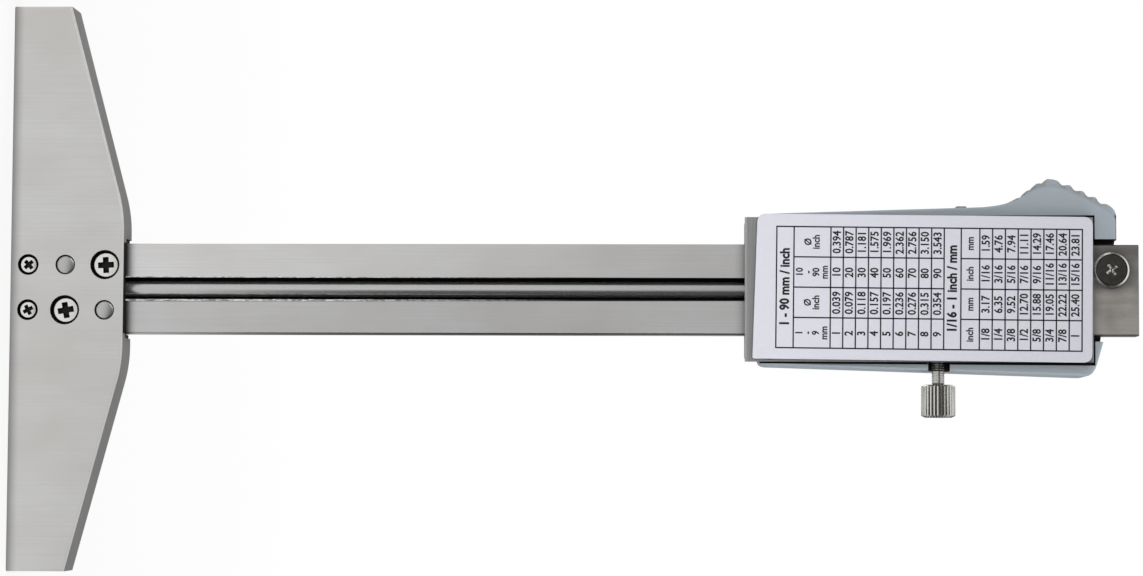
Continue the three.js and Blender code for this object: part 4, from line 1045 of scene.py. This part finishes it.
class Display(bpy.types.Operator):
    """Builds the window, its printed mask, the display and its digits"""

    bl_idname = "depth_gauge.display"
    bl_label = "Display"

    def execute(self, context):
        finish_node("display_window", "window", mm(0.15), segments=3, angle=40)
        finish_node("display_panel", "glass", mm(0.05))
        _, high, middle = span("display_panel")
        middle.y = high.y + mm(0.03)
        face = facing(middle, (0, 0, 1), (1, 0, 0))
        half_h, half_w, stroke, pitch, first = mm(3.5), mm(2), mm(0.85), mm(5.7), mm(-4.4)
        left, right, top, bottom = -half_w, half_w, half_h, -half_h
        bars = (  # of a 0, from the top round to the left
            ((left, top), (right, top)),
            ((right, top), (right, 0)),
            ((right, 0), (right, bottom)),
            ((left, bottom), (right, bottom)),
            ((left, 0), (left, bottom)),
            ((left, top), (left, 0)),
        )
        parts = []
        for i in range(3):
            centre = first + i * pitch
            for (x0, y0), (x1, y1) in bars:
                parts.append(segment((x0 + centre, y0), (x1 + centre, y1), stroke, face))
        dot_at, dot = first + pitch / 2, mm(0.45)
        corners = (dot_at - dot, bottom - dot, 0), (dot_at + dot, bottom + dot, mm(0.02))
        parts.append(bar_mesh(*corners, face))
        unit_at = Matrix.Translation((first + 2 * pitch + half_w + mm(3.2), bottom + mm(1.1), 0))
        parts.append(lettering("mm", mm(2), face @ unit_at, mm(0.06)))
        add_piece("display_digits", joined(parts), "slider", finish("segments"))

        low, high, _ = span("display_window")
        inset, wide, corner, ink = mm(0.7), mm(0.9), mm(1.2), sizes().print_height
        across, along = (low.x + inset, high.x - inset), (low.z + inset, high.z - inset)
        border = rounded_frame(across, along, wide, corner, high.y, ink)
        add_piece("window_border", border, "slider", finish("mask"))
        return {"FINISHED"}


class Buttons(bpy.types.Operator):
    """Builds the three buttons with their legends"""

    bl_idname = "depth_gauge.buttons"
    bl_label = "Buttons"

    def execute(self, context):
        legends = {"button_on_off": "ON/OFF", "button_zero": "ZERO", "button_unit": "mm/in"}
        for node, words in legends.items():
            finish_node(node, "buttons", mm(0.3), segments=4, angle=40)
            _, high, place = span(node)
            place.y = high.y + mm(0.005)
            mesh = lettering(words, mm(1), facing(place, (0, 0, 1), (1, 0, 0)), mm(0.02), 0.9)
            add_piece(node + "_legend", joined([mesh]), BODY_OF[node], finish("legend"))
        return {"FINISHED"}


class LockScrew(bpy.types.Operator):
    """Builds the knurled lock screw with its threaded neck"""

    bl_idname = "depth_gauge.lock_screw"
    bl_label = "Lock screw"

    def execute(self, context):
        low, high, centre = span("lock_screw")
        centre.x = 0
        radius, edge, head_length, ridge = (high.y - low.y) / 2, mm(0.35), mm(5.75), mm(0.3)
        start, core, ridge_share = high.x - head_length, radius - ridge, 0.66
        body = self.core(low.x, high.x, start, core, edge, centre)
        count = round(math.tau * radius / sizes().knurl_pitch)
        half = math.pi * radius / count * ridge_share
        tooth = self.tooth(start, high.x, core, core - edge, radius, half)
        values = {"Count": count, "Centre": centre, "Material": finish("zinc")}
        ridges = run_tree(ring_tree(), values, tooth)
        for face in ridges.polygons:
            face.material_index = 0
        stand_in("lock_screw", joined([body, ridges]), "zinc", ["hollow_tarnish_and_shade"])
        return {"FINISHED"}

    def core(self, low, high, start, core, edge, centre):
        """The threaded neck and the head between its ridges. Both darken with tarnish and painted shade in
        their
        hollows: between the ridges, and in the thread next to the head and towards the housing.
        """
        pitch, crest, root = sizes().thread_pitch, mm(1.15), mm(0.97)
        rise, flat, fall = 0.4, 0.5, 0.9  # where a turn reaches its crest, leaves it and is down again
        profile = [(0, low), (root, low)]
        for i in range(int((start - low) / pitch)):
            at = low + i * pitch
            profile += [(crest, at + pitch * rise), (crest, at + pitch * flat), (root, at + pitch * fall)]
        profile += [(crest, start), (core - edge, start), (core, start + edge)]
        profile += [(core, high - edge), (core - edge, high), (0, high)]
        along_x = Matrix.Translation(centre) @ Matrix.Rotation(math.pi / 2, 4, "Y")
        body = turned(profile, 48, along_x)
        for face in body.polygons:
            at, out = face.center.x, (face.center - centre).yz.length
            on_core = start + edge / 2 < at < high - edge / 2 and out > core * 0.9
            # Painted shade on the thread next to the head and where it runs towards the housing
            shaded = at < start - mm(2.4) or at > start - mm(0.3)
            in_thread = at < start - mm(0.02) and face.normal.x < -0.2 and shaded
            face.material_index = int(on_core or in_thread)
        return body

    def tooth(self, start, high, core, foot, radius, half):
        """One ridge of the knurl, with sloped ends."""
        nose, crest = mm(0.3), half * 0.5
        made, rings = bmesh.new(), []
        for x, top in ((start, foot), (start + nose, radius), (high - nose, radius), (high, foot)):
            base = core - mm(0.3) if top == radius else top - mm(0.2)
            ring = ((-half, base), (-crest, top), (crest, top), (half, base))
            rings.append([made.verts.new((x, y, z)) for y, z in ring])
        for a, b in zip(rings[:-1], rings[1:]):
            for i in range(4):
                j = (i + 1) % 4
                made.faces.new((a[i], b[i], b[j], a[j]))
        made.faces.new(rings[0][::-1])
        made.faces.new(rings[-1])
        bmesh.ops.recalc_face_normals(made, faces=made.faces)
        return smoothed(plain_mesh(made))


class ScaleStrip(bpy.types.Operator):
    """Builds the printed scale on the beam's front"""

    bl_idname = "depth_gauge.scale_strip"
    bl_label = "Scale strip"

    def execute(self, context):
        finish_node("scale_strip", "scale_film", mm(0.06))
        low, high, _ = span("scale_strip")
        margin, step = mm(8), mm(1)
        zero = low.z + margin
        count = int((high.z - margin - zero) / step) + 1
        values = {
            "Count": count,
            "Pitch": step,
            "Width": mm(0.16),
            "Thickness": mm(0.02),
            "Short": mm(2.2),
            "Middle": mm(3.1),
            "Long": mm(4),
            "Start": Vector((low.x + mm(0.3), high.y + mm(0.005), zero)),
            "Material": finish("ink"),
        }
        parts = [run_tree(tick_tree(), values)]
        for i in range(0, count, 10):
            place = Vector((low.x + mm(6.3), high.y, zero + i * step))
            parts.append(lettering(str(i), mm(1.9), facing(place, (0, 0, 1), (1, 0, 0)), mm(0.03), 0.9))
        add_piece("scale_print", joined(parts), "base_and_beam", finish("ink"))
        return {"FINISHED"}


class InnerParts(bpy.types.Operator):
    """Gives the parts inside the slider their finishes"""

    bl_idname = "depth_gauge.inner_parts"
    bl_label = "Inner parts"

    def execute(self, context):
        ends = ("low", "high")
        corners = [f"{end}_{side}" for end in ends for side in ("left", "right")]
        finishes = {
            "black_oxide": [f"{screw}_{end}" for screw in ("gib_set_screw", "clamp_screw") for end in ends]
            + [f"housing_screw_{corner}" for corner in corners],
            "bronze": ["gib_strip"],
            "board": ["circuit_board"],
            "zinc": [f"board_screw_{corner}" for corner in corners],
            "moulding": ["display_holder"],
            "rubber": ["zebra_connector", "button_mat"],
            "nickel": ["battery", "contact_spring", "contact_side"],
        }
        for name, nodes in finishes.items():
            for node in nodes:
                slots = frame["nodes"][node].data.materials
                slots.clear()
                slots.append(finish(name))
        return {"FINISHED"}


# Stage


class Stage(bpy.types.Operator):
    """Builds the floor, the studio light and the camera"""

    bl_idname = "depth_gauge.stage"
    bl_label = "Stage"

    def execute(self, context):
        self.floor()
        self.world()
        self.lamps()
        self.camera()
        context.scene.view_settings.view_transform = "Standard"
        return {"FINISHED"}

    def floor(self):
        """A matt pale disc that glows white for the camera, and less so round the gauge, where its shadow is
        seen. In the gauge's reflections it darkens behind the gauge and, some way off, to its sides."""
        made = bmesh.new()
        bmesh.ops.create_circle(made, cap_ends=True, radius=4, segments=96)
        floor = linked("floor", smoothed(plain_mesh(made)))
        material, tree, place = new_material("pale_floor")
        path = add_node(tree, "ShaderNodeLightPath").outputs
        across, depth, _ = add_node(tree, "ShaderNodeSeparateXYZ", (place,)).outputs
        away = add_node(tree, "ShaderNodeVectorMath", (place,), operation="LENGTH")
        sideways = add_node(tree, "ShaderNodeMath", (across, away), operation="DIVIDE")
        lock_side = add_node(tree, "ShaderNodeMapRange", (sideways, 0, 0.4, 1, 0.03))
        rest_side = add_node(tree, "ShaderNodeMapRange", (sideways, -0.8, -0.1, 0.9, 1))
        sides = add_node(tree, "ShaderNodeMath", (lock_side, rest_side), operation="MULTIPLY")
        far = add_node(tree, "ShaderNodeMapRange", (away, 0.09, 0.24, 0, 1))
        shaded = add_node(tree, "ShaderNodeMix", (far, 1, sides))
        behind = add_node(tree, "ShaderNodeMapRange", (depth, 0, 0.4, 1, 0.25))
        dimmed = add_node(tree, "ShaderNodeMath", (shaded, behind), operation="MULTIPLY")
        strength = add_node(tree, "ShaderNodeMix", (path["Is Glossy Ray"], 1, dimmed))
        glow = add_node(tree, "ShaderNodeEmission", ((1, 1, 1, 1), strength))
        matt = add_node(tree, "ShaderNodeBsdfDiffuse", ((0.9, 0.9, 0.9, 1),))
        rays = (path["Is Camera Ray"], path["Is Glossy Ray"])
        seen = add_node(tree, "ShaderNodeMath", rays, operation="MAXIMUM")
        paler = add_node(tree, "ShaderNodeMapRange", (away, 0.08, 0.4, 0.82, 1))
        share = add_node(tree, "ShaderNodeMath", (seen, paler), operation="MULTIPLY")
        shader = add_node(tree, "ShaderNodeMixShader", (share, matt, glow))
        add_node(tree, "ShaderNodeOutputMaterial", (shader,))
        floor.data.materials.append(material)

    def world(self):
        """Soft even light, white where the camera sees it. In reflections the room is pale low down, but not
        on the lock screw's side, dark half way up, bright overhead and a little lighter behind the gauge."""
        world = bpy.data.worlds.new("studio")
        bpy.context.scene.world = world
        world.use_nodes = True
        tree = world.node_tree
        tree.nodes.clear()
        path = add_node(tree, "ShaderNodeLightPath").outputs
        direction = add_node(tree, "ShaderNodeTexCoord").outputs["Generated"]
        across, depth, height = add_node(tree, "ShaderNodeSeparateXYZ", (direction,)).outputs
        low = add_node(tree, "ShaderNodeMapRange", (height, -0.02, 0.14, 0.8, 0.04))
        lock_side = add_node(tree, "ShaderNodeMapRange", (across, 0.05, 0.45, 1, 0.05))
        dimmed = add_node(tree, "ShaderNodeMath", (low, lock_side), operation="MULTIPLY")
        high = add_node(tree, "ShaderNodeMapRange", (height, 0.4, 0.9, 0.02, 0.9))
        most = add_node(tree, "ShaderNodeMath", (dimmed, high), operation="MAXIMUM")
        behind = add_node(tree, "ShaderNodeMapRange", (depth, -0.4, 0.5, 0.02, 0.2))
        shine = add_node(tree, "ShaderNodeMath", (most, behind), operation="MAXIMUM")
        soft, shiny, white = [
            add_node(tree, "ShaderNodeBackground", ((1, 1, 1, 1), strength)) for strength in (0.5, shine, 1)
        ]
        unseen = add_node(tree, "ShaderNodeMixShader", (path["Is Glossy Ray"], soft, shiny))
        rays = (path["Is Camera Ray"], path["Is Transmission Ray"])
        seen = add_node(tree, "ShaderNodeMath", rays, operation="MAXIMUM")
        shader = add_node(tree, "ShaderNodeMixShader", (seen, unseen, white))
        add_node(tree, "ShaderNodeOutputWorld", (shader,))

    def lamps(self):
        """Four soft boxes that look at the gauge's middle. Only the key light shows in its shine."""
        middle = Vector((0, 0, 0.1))
        soft_boxes = {  # place, size and power
            "key": ((-1.0, -1.1, 1.0), 1.1, 9.5),
            "fill": ((1.1, -0.9, 0.6), 1.2, 7),
            "rear": ((0.4, 1.0, 1.7), 1.0, 9),
            "lock_side": ((1.5, -0.1, 0.15), 1.0, 6.5),
        }
        for name, (place, size, power) in soft_boxes.items():
            lamp = bpy.data.lights.new(name, "AREA")
            lamp.shape = "SQUARE"
            lamp.size = size
            lamp.energy = power
            holder = linked(name, lamp)
            holder.location = place
            holder.rotation_euler = (middle - Vector(place)).to_track_quat("-Z", "Y").to_euler()
            holder.visible_glossy = name == "key"

    def camera(self):
        """The photograph's view: the beam runs to the right, and the label side faces the camera."""
        place = Vector((mm(33.85), BACK - mm(522.95), mm(120.87)))
        target = Vector((mm(-0.224), BACK, mm(99.103)))
        roll, focal_pixels, picture_width = math.radians(0.264), 2973.2, 1143
        ahead = (target - place).normalized()
        level = ahead.cross(Vector((-1, 0, 0))).normalized()
        upright = level.cross(ahead)
        right = level * math.cos(roll) + upright * math.sin(roll)
        up = upright * math.cos(roll) - level * math.sin(roll)
        data = bpy.data.cameras.new("camera")
        data.sensor_width = 36
        data.lens = data.sensor_width * focal_pixels / picture_width
        data.clip_start, data.clip_end = 0.01, 50
        holder = linked("camera", data)
        turn = Matrix((right, up, -ahead)).transposed().to_4x4()
        holder.matrix_world = Matrix.Translation(place) @ turn
        bpy.context.scene.camera = holder


PIECES = (
    SteelParts,
    DepthRod,
    BaseFasteners,
    StopScrew,
    LabelPlate,
    Housing,
    Display,
    Buttons,
    LockScrew,
    ScaleStrip,
    InnerParts,
    Stage,
)


class DepthGaugePanel(bpy.types.Panel):
    """Lists the pieces of the gauge with their sizes and colours"""

    bl_idname = "VIEW3D_PT_depth_gauge"
    bl_label = "Depth gauge"
    bl_space_type = "VIEW_3D"
    bl_region_type = "UI"
    bl_category = "Depth gauge"

    def draw(self, context):
        for piece in PIECES:
            self.layout.operator(piece.bl_idname)
        for group in (sizes(), colours()):
            box = self.layout.box()
            for name in group.bl_rna.properties.keys():
                if name not in ("rna_type", "name"):
                    box.prop(group, name)


CLASSES = (DepthGaugeColours, DepthGaugeSizes, *PIECES, DepthGaugePanel)


def register():
    for made in CLASSES:
        bpy.utils.register_class(made)
    setattr(bpy.types.Scene, COLOURS, bpy.props.PointerProperty(type=DepthGaugeColours))
    setattr(bpy.types.Scene, SIZES, bpy.props.PointerProperty(type=DepthGaugeSizes))


def unregister():
    delattr(bpy.types.Scene, SIZES)
    delattr(bpy.types.Scene, COLOURS)
    for made in reversed(CLASSES):
        bpy.utils.unregister_class(made)


def main():
    register()
    for piece in PIECES:
        group, name = piece.bl_idname.split(".")
        result = getattr(getattr(bpy.ops, group), name)()
        if result != {"FINISHED"}:
            raise RuntimeError(f"{piece.bl_label} didn't finish")


if __name__ == "__main__":
    main()
